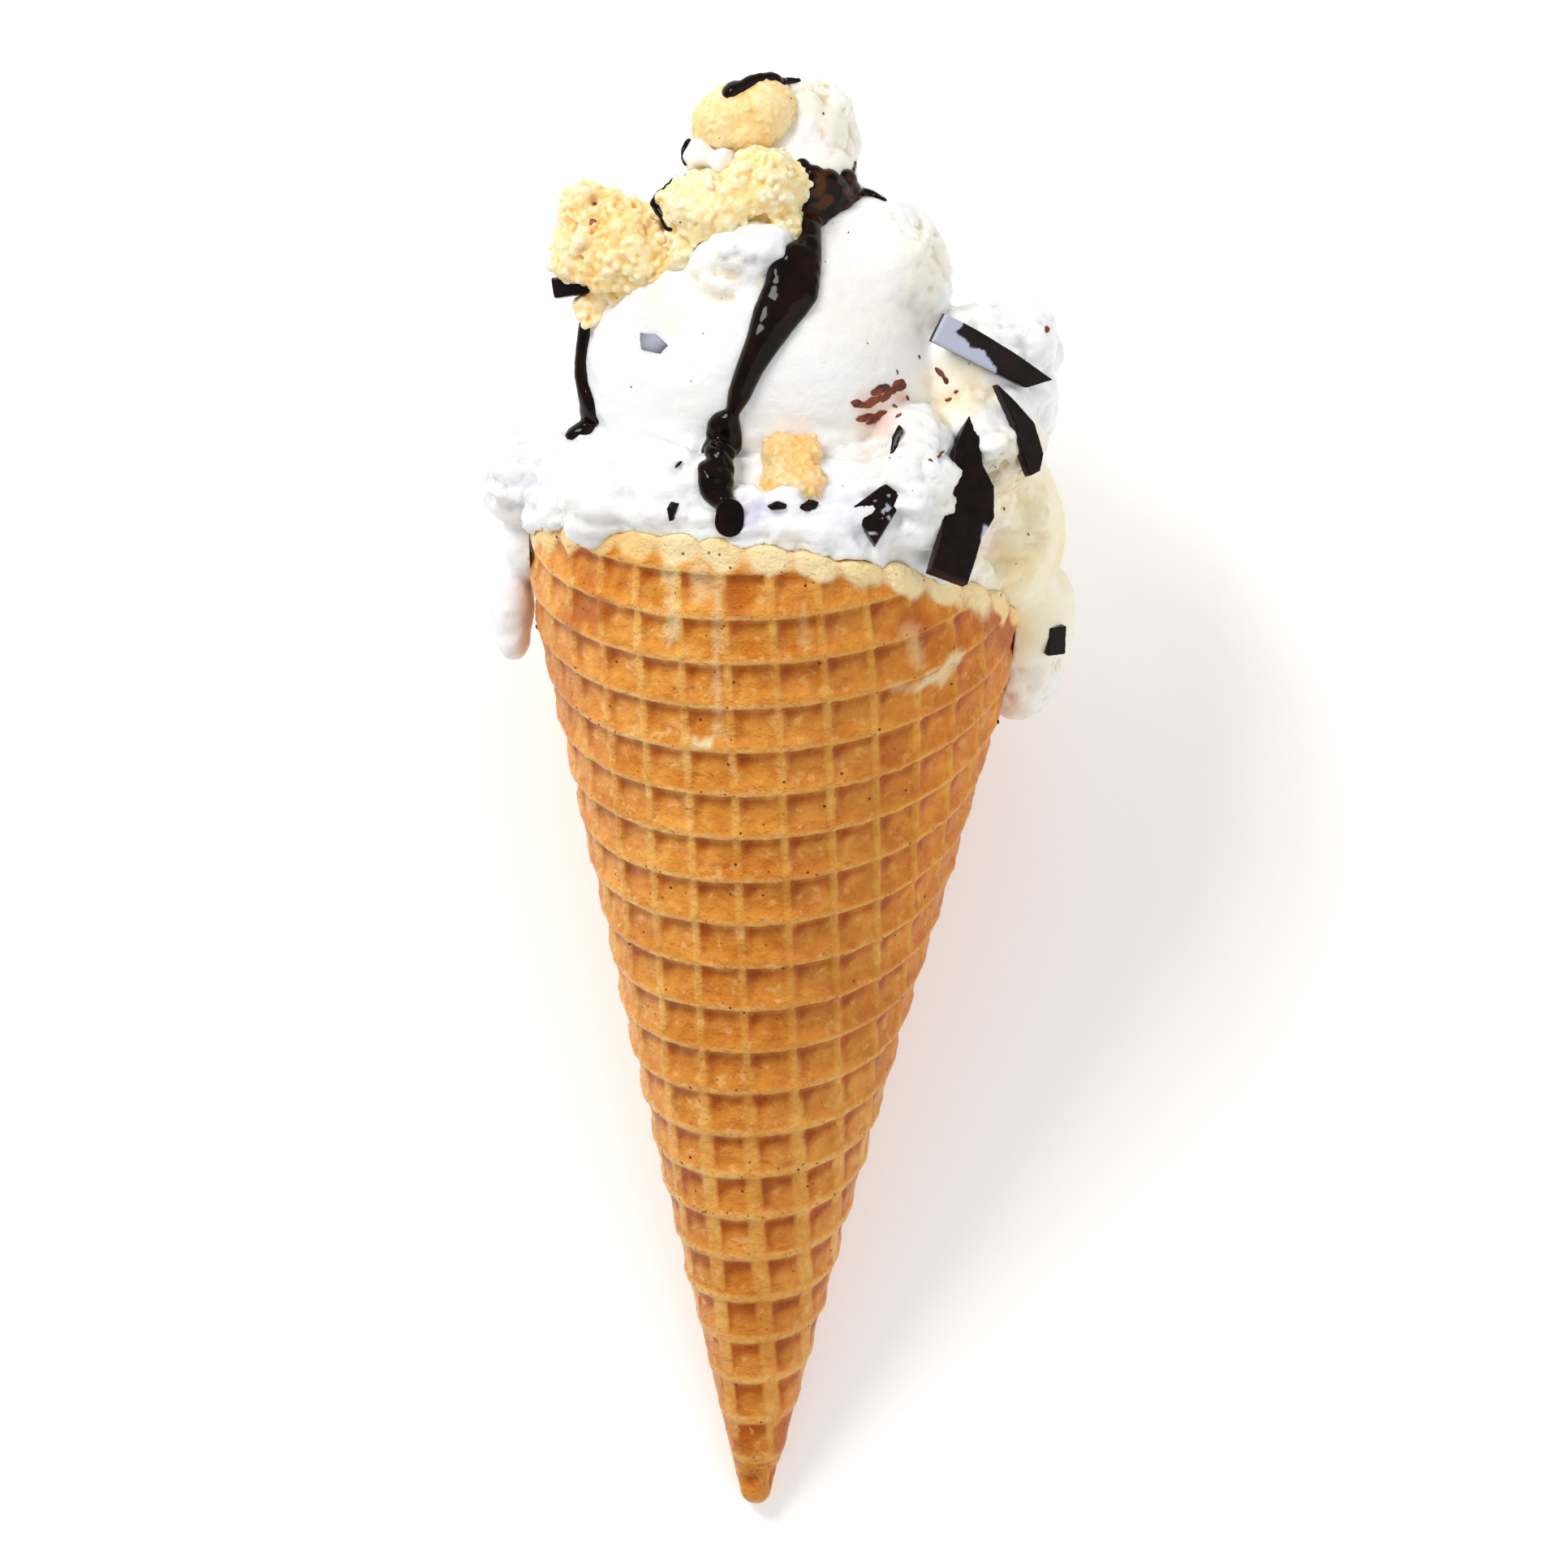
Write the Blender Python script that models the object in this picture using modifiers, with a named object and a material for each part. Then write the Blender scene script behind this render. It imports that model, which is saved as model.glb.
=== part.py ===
"""Ice cream in a rolled waffle cone, lying on its side with the shown face up.

The cone's tip points along -Y and the scoops along +Y. Sizes are in millimetres and
are turned into metres where a mesh is made.
"""

import bpy
import bmesh
from math import atan2, ceil, cos, hypot, pi, radians, sin, tan
from mathutils import Euler, Matrix, Vector, noise
from mathutils.bvhtree import BVHTree

MM = 0.001
GAP = 0.35                      # kept between pieces that touch
COLLECTION_NAME = "ice_cream_cone"

# Cone: a flat baked sheet rolled to a cone that lies on its lowest line
HALF_ANGLE = radians(14.03)
APEX = Vector((-3.4, -106.4, 0.0))
LEAN = 3.2                      # how far the rim end bends to +X
LEAN_FROM = 42.0                # distance from the apex where the bend starts
LEAN_LENGTH = 108.0
WALL = 2.2                      # sheet thickness at a rib
POCKET_DEPTH = 0.9
RIB_SIDE = 1.1                  # from the middle of a rib to the pocket's floor
CELL = 6.55                     # rib to rib
GRID_TURN = radians(4.6)        # the grid is turned by this much in the flat sheet
GRID_SIDE = 4.3                 # one rib line's distance from the apex, to the side
GRID_UP = 86.1                  # one rib line's distance from the apex, upward
RIM_MIDDLE = 143.4              # slant length from apex to rim, on average
RIM_SWING = 11.8                # the rim is longest at RIM_HIGH
RIM_HIGH = radians(-26.5)
RIM_SCALLOP = 0.8
RIM_CURL = 2.0                  # the last stretch below the rim bends inward by this much
RIM_CURL_LENGTH = 16.0
SHEET_END = radians(115.0)      # outer edge of the rolled sheet
SHEET_START = radians(-270.0)   # inner edge, a little more than one turn away
OVERLAP = radians(25.0)
SPIRAL = 2.8                    # growth of the radius in one turn
SPIRAL_EVEN = radians(-22.0)    # here the radius is that of the even cone
FULL_WALL_FROM = 45.0           # nearer the tip the wall gets thinner
SHEET_BOTTOM = 14.0             # slant length where the sheet gives way to the tip
OVERLAP_BOTTOM = 50.0           # below this the sheet's two edges only meet
FINE_BELOW = 38.0               # nearer the tip the cells' sides are halved
TIP_RADIUS = 2.13
TIP_TOP = 50.0
ROOM_COLUMNS, ROOM_ROWS = 40, 7  # faces of the space kept free for the wall
ROOM_BOTTOM = 50.0
ROOM_EDGE = radians(0.6)

# Ice cream: lumps (place, radii, roughness, subdivisions)
LUMPS = {
    "scoop": ((-1.5, 57.9, 41.0), (25.6, 23.5, 25.5), 0.02, 4),
    "shoulder_right": ((11.6, 68.4, 46.0), (11.4, 12.0, 15.0), 0.05, 3),
    "shoulder_left": ((-16.4, 59.8, 43.0), (10.0, 14.0, 14.0), 0.05, 3),
    "top_ball": ((1.6, 86.4, 47.0), (9.4, 9.8, 9.5), 0.08, 3),
    "neck": ((2.6, 79.6, 50.0), (8.0, 8.0, 9.0), 0.10, 2),
    "lobe_left": ((-33.6, 41.6, 38.0), (6.8, 6.6, 9.0), 0.20, 3),
    "lobe_left_upper": ((-29.7, 43.6, 41.0), (5.0, 4.4, 7.0), 0.20, 2),
    "lobe_left_tip": ((-37.6, 46.0, 38.0), (2.6, 2.8, 4.0), 0.12, 2),
    "ruffle_front_left": ((-21.7, 37.5, 57.0), (8.0, 6.5, 9.0), 0.14, 2),
    "ruffle_front_mid": ((-13.0, 38.5, 62.0), (8.0, 7.0, 7.0), 0.14, 2),
    "ruffle_front_low": ((-0.1, 35.0, 62.0), (9.0, 5.5, 8.0), 0.14, 2),
    "lobe_front_right": ((17.7, 39.6, 57.0), (6.8, 11.0, 11.0), 0.14, 3),
    "lobe_right": ((27.3, 46.4, 49.0), (8.5, 8.0, 10.0), 0.14, 3),
    "ruffle_right": ((30.7, 59.3, 43.0), (7.2, 5.8, 9.0), 0.20, 3),
    "ruffle_right_low": ((32.8, 51.6, 42.0), (4.8, 7.0, 8.0), 0.12, 2),
    "link_right": ((25.0, 55.8, 45.0), (9.0, 9.0, 12.0), 0.14, 2),
    "mass_upper": ((30.4, 34.6, 34.0), (8.2, 12.0, 16.0), 0.06, 3),
    "mass_middle": ((32.4, 23.5, 24.0), (7.8, 9.4, 11.0), 0.06, 3),
    "mass_lower": ((32.6, 14.8, 22.0), (5.4, 5.6, 8.0), 0.12, 2),
    "drip_root": ((-33.8, 33.5, 32.0), (4.0, 5.5, 7.0), 0.10, 2),
    "drip": ((-36.4, 25.6, 29.0), (3.0, 8.0, 5.0), 0.10, 2),
    "drip_end": ((-36.4, 19.9, 29.0), (2.3, 3.0, 3.5), 0.06, 2),
    "underside": ((-1.0, 36.0, 13.0), (25.0, 14.0, 16.5), 0.05, 3),
    "underside_upper": ((0.0, 54.0, 22.0), (20.0, 15.0, 18.0), 0.05, 2),
    "dollop_top": ((-9.6, 83.1, 57.0), (3.0, 2.9, 4.5), 0.12, 2),
    "dollop_middle": ((-4.8, 70.0, 62.5), (7.2, 4.9, 5.4), 0.12, 2),
}
SKIRT_ALONG = 152.0             # distance from the apex of the broad ring of ice cream
SKIRT_RADII = (34.6, 13.0, 33.6)
LUMPS_KEEP = 0.28               # share of the joined lumps' triangles that is kept
PLUG_FROM = 56.0
PLUG_INSIDE = 4.5               # from the cone's even outer surface to the filling
PLUG_TO = 146.0

# Thick sauce that lies on the ice cream: (x, y, half width) from the top down
SAUCE_MAIN = (
    (4.9, 74.0, 1.3), (4.4, 71.0, 2.6), (2.9, 65.6, 3.4), (-0.4, 60.8, 2.4), (-2.8, 56.5, 1.8),
    (-4.9, 52.2, 1.7), (-6.5, 48.6, 1.2), (-7.6, 45.3, 2.6), (-7.9, 41.5, 3.2), (-7.4, 38.3, 1.5),
    (-6.8, 35.2, 2.2),
)
SAUCE_LEFT = (
    (-24.4, 61.8, 0.8), (-25.0, 57.4, 1.1), (-25.0, 51.9, 1.1), (-25.4, 48.6, 1.0), (-26.8, 45.4, 0.8),
)
SAUCE_NECK = ((6.5, 80.4, 3.4), (9.4, 79.0, 2.4), (3.6, 77.0, 2.2), (12.0, 79.0, 1.3))

# Small chips pressed into the ice cream: x, y, length, width, turn in degrees
CHIPS = (
    (-17.1, 59.9, 5.0, 2.6, -20.0),
    (-14.5, 37.2, 3.2, 1.5, 80.0),
    (3.6, 38.2, 2.6, 1.3, 10.0),
    (15.6, 46.0, 4.2, 1.7, 75.0),
)
CHIP_THICK = 1.2

# Cake pieces: lumps that grow together (place, radii)
CAKES = {
    "cake_left": (
        ((-19.5, 70.5, 52.0), (8.2, 7.8, 8.2)),
        ((-25.2, 76.0, 51.0), (4.4, 4.3, 5.4)),
        ((-25.6, 70.6, 51.0), (5.2, 5.2, 6.4)),
        ((-25.2, 64.3, 49.0), (3.0, 2.9, 3.6)),
    ),
    "cake_middle": (
        ((-1.6, 79.6, 60.0), (5.4, 5.4, 6.6)),
        ((-9.4, 76.2, 59.0), (6.8, 5.2, 7.2)),
        ((-14.0, 77.4, 58.0), (3.0, 3.0, 4.4)),
        ((0.4, 74.2, 60.0), (2.8, 3.4, 4.4)),
        ((-12.4, 71.2, 58.0), (3.4, 3.4, 4.6)),
    ),
    "cake_top": (
        ((-2.4, 89.8, 54.0), (5.2, 5.0, 6.4)),
        ((-7.4, 88.0, 54.0), (4.8, 4.6, 6.0)),
    ),
    "cake_front": (
        ((1.6, 42.3, 60.6), (4.2, 4.7, 4.0)),
    ),
}
CAKE_ROUGH = 0.16
CAKE_KEEP = 0.55                # share of a cake's triangles that is kept

# Chocolate shards: outline in the plane of the shard, place, tilt about X and Y in degrees
SHARDS = {
    "chocolate_long": (
        ((-6.8, 4.0), (-8.7, 0.2), (-5.3, -1.3), (2.5, -4.7), (5.1, -5.8), (9.1, -4.6), (2.9, -0.8), (-2.4, 2.0)),
        (28.0, 58.7, 57.0), (4.0, 22.0),
    ),
    "chocolate_curved": (
        ((-4.4, 5.5), (-1.9, 0.2), (-0.9, -4.1), (0.1, -7.1), (1.8, -6.4), (2.5, -4.0), (1.4, 0.1), (-1.5, 3.1)),
        (32.4, 48.0, 57.4), (-6.0, 30.0),
    ),
    "chocolate_tall": (
        ((2.1, 12.2), (3.5, 10.3), (3.3, 5.3), (4.7, 2.4), (4.0, -2.0), (1.8, -4.7), (-1.4, -11.2),
         (-7.0, -9.4), (-5.4, -6.0), (-2.6, 1.5), (-0.8, 7.4)),
        (24.4, 37.2, 62.0), (-14.0, 30.0),
    ),
    "chocolate_broad": (
        ((4.2, 4.8), (4.6, 2.8), (1.0, -2.9), (-0.3, -5.0), (-2.7, -1.2), (-4.0, -0.3), (0.7, 3.3)),
        (12.7, 36.2, 67.2), (-16.0, 6.0),
    ),
}
SHARD_THICK = 1.9
CHUNKS = {
    "chocolate_chunk_left": ((-27.4, 66.2, 47.5), (5.4, 2.9, 3.2), (0.0, -20.0, 4.0)),
    "chocolate_chunk_right": ((36.9, 20.0, 31.0), (2.8, 4.0, 3.2), (20.0, 30.0, 8.0)),
}


def smoothstep(value):
    value = min(1.0, max(0.0, value))
    return value * value * (3.0 - 2.0 * value)


def material(name, colour, roughness):
    made = bpy.data.materials.new(name)
    made.use_nodes = True
    shader = made.node_tree.nodes["Principled BSDF"]
    shader.inputs["Base Color"].default_value = (*colour, 1.0)
    shader.inputs["Roughness"].default_value = roughness
    shader.inputs["Metallic"].default_value = 0.0
    made.diffuse_color = (*colour, 1.0)
    return made


def add_object(name, mesh, collection):
    made = bpy.data.objects.new(name, mesh)
    collection.objects.link(made)
    return made


def mesh_from(bm, name):
    mesh = bpy.data.meshes.new(name)
    bmesh.ops.recalc_face_normals(bm, faces=bm.faces)
    bm.to_mesh(mesh)
    bm.free()
    return mesh


def evaluated_mesh(thing):
    return bpy.data.meshes.new_from_object(thing.evaluated_get(bpy.context.evaluated_depsgraph_get()))


def combine(target, other, operation):
    """Boolean of the target with one object or one collection of objects."""
    modifier = target.modifiers.new("combine", "BOOLEAN")
    modifier.operation = operation
    modifier.solver = "MANIFOLD"
    if isinstance(other, bpy.types.Collection):
        modifier.operand_type = "COLLECTION"
        modifier.collection = other
    else:
        modifier.object = other
    mesh = evaluated_mesh(target)
    target.modifiers.remove(modifier)
    target.data = mesh


def simplify(thing, ratio):
    """Fewer, larger triangles on the same surface."""
    modifier = thing.modifiers.new("simplify", "DECIMATE")
    modifier.ratio = ratio
    mesh = evaluated_mesh(thing)
    thing.modifiers.remove(modifier)
    thing.data = mesh


def remove_object(thing):
    bpy.data.objects.remove(thing, do_unlink=True)


def hide_guides(collection):
    for thing in collection.objects:
        thing.hide_render = True
        thing.display_type = "WIRE"


def lean_at(along):
    return LEAN * smoothstep((along - LEAN_FROM) / LEAN_LENGTH)


def lay_down(side, up, along):
    """A point given beside, above and along the cone's axis, in the lying frame."""
    return Vector((
        APEX.x + lean_at(along) + side,
        APEX.y + along * cos(HALF_ANGLE) - up * sin(HALF_ANGLE),
        APEX.z + along * sin(HALF_ANGLE) + up * cos(HALF_ANGLE),
    ))


def rim_even(around):
    return RIM_MIDDLE + RIM_SWING * cos(around - RIM_HIGH)


def roll(flat):
    """Roll one point of the flat sheet to the cone, with its radius growing in a spiral."""
    slant = hypot(flat.x, flat.y)
    around = (atan2(flat.x, flat.y) - GRID_TURN) / sin(HALF_ANGLE)
    shrink = max(0.3, min(1.0, slant / FULL_WALL_FROM))
    rise = (SPIRAL * (around - SPIRAL_EVEN) / (2.0 * pi) + flat.z) * shrink
    curl = max(0.0, 1.0 - (rim_even(around) - slant) / RIM_CURL_LENGTH)
    out = slant * sin(HALF_ANGLE) + rise * cos(HALF_ANGLE) - RIM_CURL * curl * curl
    along = slant * cos(HALF_ANGLE) - rise * sin(HALF_ANGLE)
    return lay_down(out * sin(around), out * cos(around), along)


def rim_slant(around):
    even = rim_even(around)
    side = even * sin(around * sin(HALF_ANGLE) + GRID_TURN)
    scallop = RIM_SCALLOP * abs(cos(pi * (side - GRID_SIDE) / CELL))
    return even + scallop + 0.5 * noise.noise(Vector((around * 3.0, 0.0, 4.0)))


def flat_point(slant, around):
    turn = around * sin(HALF_ANGLE) + GRID_TURN
    return Vector((slant * sin(turn), slant * cos(turn), 0.0))


def sheet_outline(step):
    """The flat sheet's edge: scalloped rim, outer edge, tip end, and the stepped inner edge."""
    count = int(ceil((SHEET_END - SHEET_START) * sin(HALF_ANGLE) * RIM_MIDDLE / step))
    points = []
    for i in range(count + 1):
        around = SHEET_START + (SHEET_END - SHEET_START) * i / count
        points.append(flat_point(rim_slant(around), around))
    meet = SHEET_START + OVERLAP + radians(4.0)
    points.append(flat_point(SHEET_BOTTOM, SHEET_END))
    points.append(flat_point(SHEET_BOTTOM, 0.5 * (SHEET_END + meet)))
    points.append(flat_point(SHEET_BOTTOM, meet))
    points.append(flat_point(OVERLAP_BOTTOM - 3.0, meet))
    points.append(flat_point(OVERLAP_BOTTOM, SHEET_START))
    return points


def flat_prism(name, points, half_height, collection):
    """A flat outline with straight sides, from a filled 2D curve."""
    curve = bpy.data.curves.new(name, "CURVE")
    curve.dimensions = "2D"
    curve.fill_mode = "BOTH"
    curve.extrude = half_height * MM
    spline = curve.splines.new("POLY")
    spline.points.add(len(points) - 1)
    for place, point in zip(spline.points, points):
        place.co = (point[0] * MM, point[1] * MM, 0.0, 1.0)
    spline.use_cyclic_u = True
    holder = add_object(name, curve, collection)
    bm = bmesh.new()
    bm.from_mesh(evaluated_mesh(holder))
    bmesh.ops.remove_doubles(bm, verts=bm.verts, dist=0.00001)
    remove_object(holder)
    return add_object(name, mesh_from(bm, name), collection)


def in_sheet(centre):
    slant = hypot(centre.x, centre.y)
    turn = atan2(centre.x, centre.y)
    margin = CELL / max(slant, CELL)
    first = SHEET_START * sin(HALF_ANGLE) + GRID_TURN - margin
    last = SHEET_END * sin(HALF_ANGLE) + GRID_TURN + margin
    return SHEET_BOTTOM - CELL < slant < RIM_MIDDLE + RIM_SWING + CELL and first < turn < last


def flat_sheet(name, bottom, top, outline, collection):
    """A flat slab of square cells cut to the outline, with a pocket in each cell."""
    reach = RIM_MIDDLE + RIM_SWING + CELL
    columns = 2 * int(ceil(reach / CELL))
    rows = int(ceil(reach / CELL)) + 1
    left = GRID_SIDE - CELL * columns / 2
    low = GRID_UP - CELL * ceil(GRID_UP / CELL)
    bm = bmesh.new()
    bmesh.ops.create_grid(bm, x_segments=columns, y_segments=rows, size=0.5)
    for vert in bm.verts:
        vert.co.x = left + (vert.co.x + 0.5) * columns * CELL
        vert.co.y = low + (vert.co.y + 0.5) * rows * CELL
        vert.co.z = bottom
    outside = [face for face in bm.faces if not in_sheet(face.calc_center_median())]
    bmesh.ops.delete(bm, geom=outside, context="FACES")
    raised = bmesh.ops.extrude_face_region(bm, geom=bm.faces[:], use_keep_orig=True)
    for item in raised["geom"]:
        if isinstance(item, bmesh.types.BMVert):
            item.co.z = top
    bmesh.ops.recalc_face_normals(bm, faces=bm.faces)
    cells = [face for face in bm.faces if face.normal.z > 0.5]
    bmesh.ops.inset_individual(bm, faces=cells, thickness=RIB_SIDE)
    floors = {vert for face in cells for vert in face.verts}
    for vert in floors:
        vert.co.z -= POCKET_DEPTH
    near = [e for e in bm.edges if (e.verts[0].co + e.verts[1].co).xy.length / 2.0 < FINE_BELOW]
    bmesh.ops.subdivide_edges(bm, edges=near, cuts=1, use_grid_fill=True)
    bmesh.ops.scale(bm, vec=(MM, MM, MM), verts=bm.verts)
    sheet = add_object(name, mesh_from(bm, name), collection)
    prism = flat_prism(name + "_outline", outline, 10.0, collection)
    combine(sheet, prism, "INTERSECT")
    remove_object(prism)
    return sheet


def rolled(sheet):
    bm = bmesh.new()
    bm.from_mesh(sheet.data)
    bmesh.ops.remove_doubles(bm, verts=bm.verts, dist=0.00002)
    bmesh.ops.triangulate(bm, faces=bm.faces)
    for vert in bm.verts:
        vert.co = roll(vert.co / MM) * MM
    sheet.data = mesh_from(bm, sheet.name)


def turned(name, profile, steps, collection):
    """A profile of (radius, along) points turned about the cone's axis and laid down."""
    bm = bmesh.new()
    verts = [bm.verts.new((radius, 0.0, along)) for radius, along in profile]
    for first, second in zip(verts, verts[1:]):
        bm.edges.new((first, second))
    mesh = bpy.data.meshes.new(name)
    bm.to_mesh(mesh)
    bm.free()
    thing = add_object(name, mesh, collection)
    screw = thing.modifiers.new("turn", "SCREW")
    screw.steps = steps
    screw.render_steps = steps
    screw.use_merge_vertices = True
    screw.merge_threshold = 0.0001
    bm = bmesh.new()
    bm.from_mesh(evaluated_mesh(thing))
    bmesh.ops.remove_doubles(bm, verts=bm.verts, dist=0.0001)
    for vert in bm.verts:
        vert.co = lay_down(vert.co.x, vert.co.y, vert.co.z) * MM
    thing.modifiers.clear()
    thing.data = mesh_from(bm, name)
    return thing


def wafer_tip(collection):
    centre = TIP_RADIUS / sin(HALF_ANGLE)
    profile = [(0.0, centre - TIP_RADIUS)]
    for i in range(1, 6):
        bend = (pi / 2.0 - HALF_ANGLE) * i / 5
        profile.append((TIP_RADIUS * sin(bend), centre - TIP_RADIUS * cos(bend)))
    for i in range(1, 6):
        along = centre + (TIP_TOP - centre) * i / 5
        profile.append((along * tan(HALF_ANGLE) - 0.5 * WALL * min(1.0, i / 5), along))
    profile.append((0.0, TIP_TOP))
    return turned("tip", profile, 24, collection)


def lump(name, place, radii, rough, level, collection):
    """A ball with its own radii and an uneven surface."""
    bm = bmesh.new()
    bmesh.ops.create_icosphere(bm, subdivisions=level, radius=1.0)
    spread = sum(radii) / 3.0
    for vert in bm.verts:
        point = Vector((vert.co.x * radii[0], vert.co.y * radii[1], vert.co.z * radii[2])) + Vector(place)
        swell = noise.noise(point / (0.55 * spread + 1.5)) + 0.5 * noise.noise(point / (0.25 * spread + 0.8))
        vert.co = Vector(place) + (point - Vector(place)) * (1.0 + rough * swell)
    bmesh.ops.scale(bm, vec=(MM, MM, MM), verts=bm.verts)
    return add_object(name, mesh_from(bm, name), collection)


def surface_of(thing):
    bm = bmesh.new()
    bm.from_mesh(thing.data)
    tree = BVHTree.FromBMesh(bm)
    bm.free()
    return tree


def on_surface(tree, x, y):
    """The highest point of a surface above the place x, y."""
    place, normal, _, _ = tree.ray_cast(Vector((x, y, 200.0)) * MM, Vector((0.0, 0.0, -1.0)))
    return place / MM, normal


def sauce_run(name, points, tree, collection):
    """A tube of changing width that follows the surface, half sunk in it."""
    curve = bpy.data.curves.new(name, "CURVE")
    curve.dimensions = "3D"
    curve.bevel_depth = MM
    curve.bevel_resolution = 1
    curve.use_fill_caps = True
    spline = curve.splines.new("POLY")
    spline.points.add(len(points) - 1)
    for place, (x, y, width) in zip(spline.points, points):
        hit, normal = on_surface(tree, x, y)
        place.co = (*((hit - normal * 0.35 * width) * MM), 1.0)
        place.radius = width
    holder = add_object(name, curve, collection)
    bm = bmesh.new()
    bm.from_mesh(evaluated_mesh(holder))
    bmesh.ops.remove_doubles(bm, verts=bm.verts, dist=0.00001)
    remove_object(holder)
    return add_object(name, mesh_from(bm, name), collection)


def chip(name, x, y, length, width, turn, tree, collection):
    hit, normal = on_surface(tree, x, y)
    bm = bmesh.new()
    bmesh.ops.create_cube(bm, size=1.0)
    bmesh.ops.scale(bm, vec=(length * MM, width * MM, 2.0 * CHIP_THICK * MM), verts=bm.verts)
    lie = normal.to_track_quat("Z", "Y").to_matrix().to_4x4()
    spin = Matrix.Rotation(radians(turn), 4, "Z")
    bmesh.ops.transform(bm, matrix=Matrix.Translation(hit * MM) @ lie @ spin, verts=bm.verts)
    return add_object(name, mesh_from(bm, name), collection)


def largest_body(thing):
    """Keep the biggest body and drop scraps that are loose or hang on by one point."""
    bm = bmesh.new()
    bm.from_mesh(thing.data)
    bmesh.ops.remove_doubles(bm, verts=bm.verts, dist=0.000004)
    bmesh.ops.triangulate(bm, faces=bm.faces)
    bmesh.ops.dissolve_degenerate(bm, edges=bm.edges, dist=0.000004)
    left = set(bm.faces)
    bodies = []
    while left:
        body = []
        stack = [left.pop()]
        while stack:
            face = stack.pop()
            body.append(face)
            for other in [near for edge in face.edges for near in edge.link_faces]:
                if other in left:
                    left.remove(other)
                    stack.append(other)
        bodies.append(body)
    bodies.sort(key=len)
    for body in bodies[:-1]:
        bmesh.ops.delete(bm, geom=body, context="FACES")
    thing.data = mesh_from(bm, thing.name)


def swollen(thing, amount, collection):
    """A copy moved outward by amount, used to cut a neighbour clear of it."""
    bm = bmesh.new()
    bm.from_mesh(thing.data)
    bm.normal_update()
    moved = [vert.co + vert.normal * amount * MM * max(1.0, vert.calc_shell_factor()) for vert in bm.verts]
    for vert, place in zip(bm.verts, moved):
        vert.co = place
    return add_object(thing.name + "_room", mesh_from(bm, thing.name), collection)


def make_shard(name, outline, place, tilt, parts, guides):
    shard = flat_prism(name, outline, 0.5 * SHARD_THICK, guides)
    guides.objects.unlink(shard)
    parts.objects.link(shard)
    turn = Euler((radians(tilt[0]), radians(tilt[1]), 0.0)).to_matrix().to_4x4()
    shard.data.transform(Matrix.Translation(Vector(place) * MM) @ turn)
    return shard


def make_chunk(name, place, size, tilt, parts):
    bm = bmesh.new()
    bmesh.ops.create_cube(bm, size=1.0)
    bmesh.ops.scale(bm, vec=Vector(size) * MM, verts=bm.verts)
    bmesh.ops.bevel(bm, geom=bm.edges[:], offset=0.4 * MM, segments=1, profile=0.5, affect="EDGES")
    turn = Euler([radians(angle) for angle in tilt]).to_matrix().to_4x4()
    bmesh.ops.transform(bm, matrix=Matrix.Translation(Vector(place) * MM) @ turn, verts=bm.verts)
    return add_object(name, mesh_from(bm, name), parts)


def make_cake(name, lumps, parts, guides):
    """One piece of cake, grown together from its lumps."""
    place, radii = lumps[0]
    cake = lump(name, place, radii, CAKE_ROUGH, 3, parts)
    for place, radii in lumps[1:]:
        other = lump(name + "_lump", place, radii, CAKE_ROUGH, 2, guides)
        combine(cake, other, "UNION")
        remove_object(other)
    if len(lumps) > 1:
        simplify(cake, CAKE_KEEP)
    return cake


def make_waffle_cone(parts, guides):
    sheet = flat_sheet("waffle_cone", -WALL, 0.0, sheet_outline(3.2), guides)
    rolled(sheet)
    tip = wafer_tip(guides)
    combine(sheet, tip, "UNION")
    remove_object(tip)
    largest_body(sheet)
    guides.objects.unlink(sheet)
    parts.objects.link(sheet)
    return sheet


def wafer_room(guides):
    """The space that the cone's wall needs beside the ice cream, a little larger than the wall."""
    bm = bmesh.new()
    bmesh.ops.create_grid(bm, x_segments=ROOM_COLUMNS, y_segments=ROOM_ROWS, size=0.5)
    for vert in bm.verts:
        around = SHEET_START - ROOM_EDGE + (vert.co.x + 0.5) * (SHEET_END - SHEET_START + 2.0 * ROOM_EDGE)
        top = rim_even(around) + RIM_SCALLOP + 2.0 * GAP
        vert.co = flat_point(ROOM_BOTTOM + (vert.co.y + 0.5) * (top - ROOM_BOTTOM), around)
        vert.co.z = -WALL - GAP
    raised = bmesh.ops.extrude_face_region(bm, geom=bm.faces[:], use_keep_orig=True)
    for item in raised["geom"]:
        if isinstance(item, bmesh.types.BMVert):
            item.co.z = GAP
    bmesh.ops.scale(bm, vec=(MM, MM, MM), verts=bm.verts)
    room = add_object("wafer_room", mesh_from(bm, "wafer_room"), guides)
    rolled(room)
    return room


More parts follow.
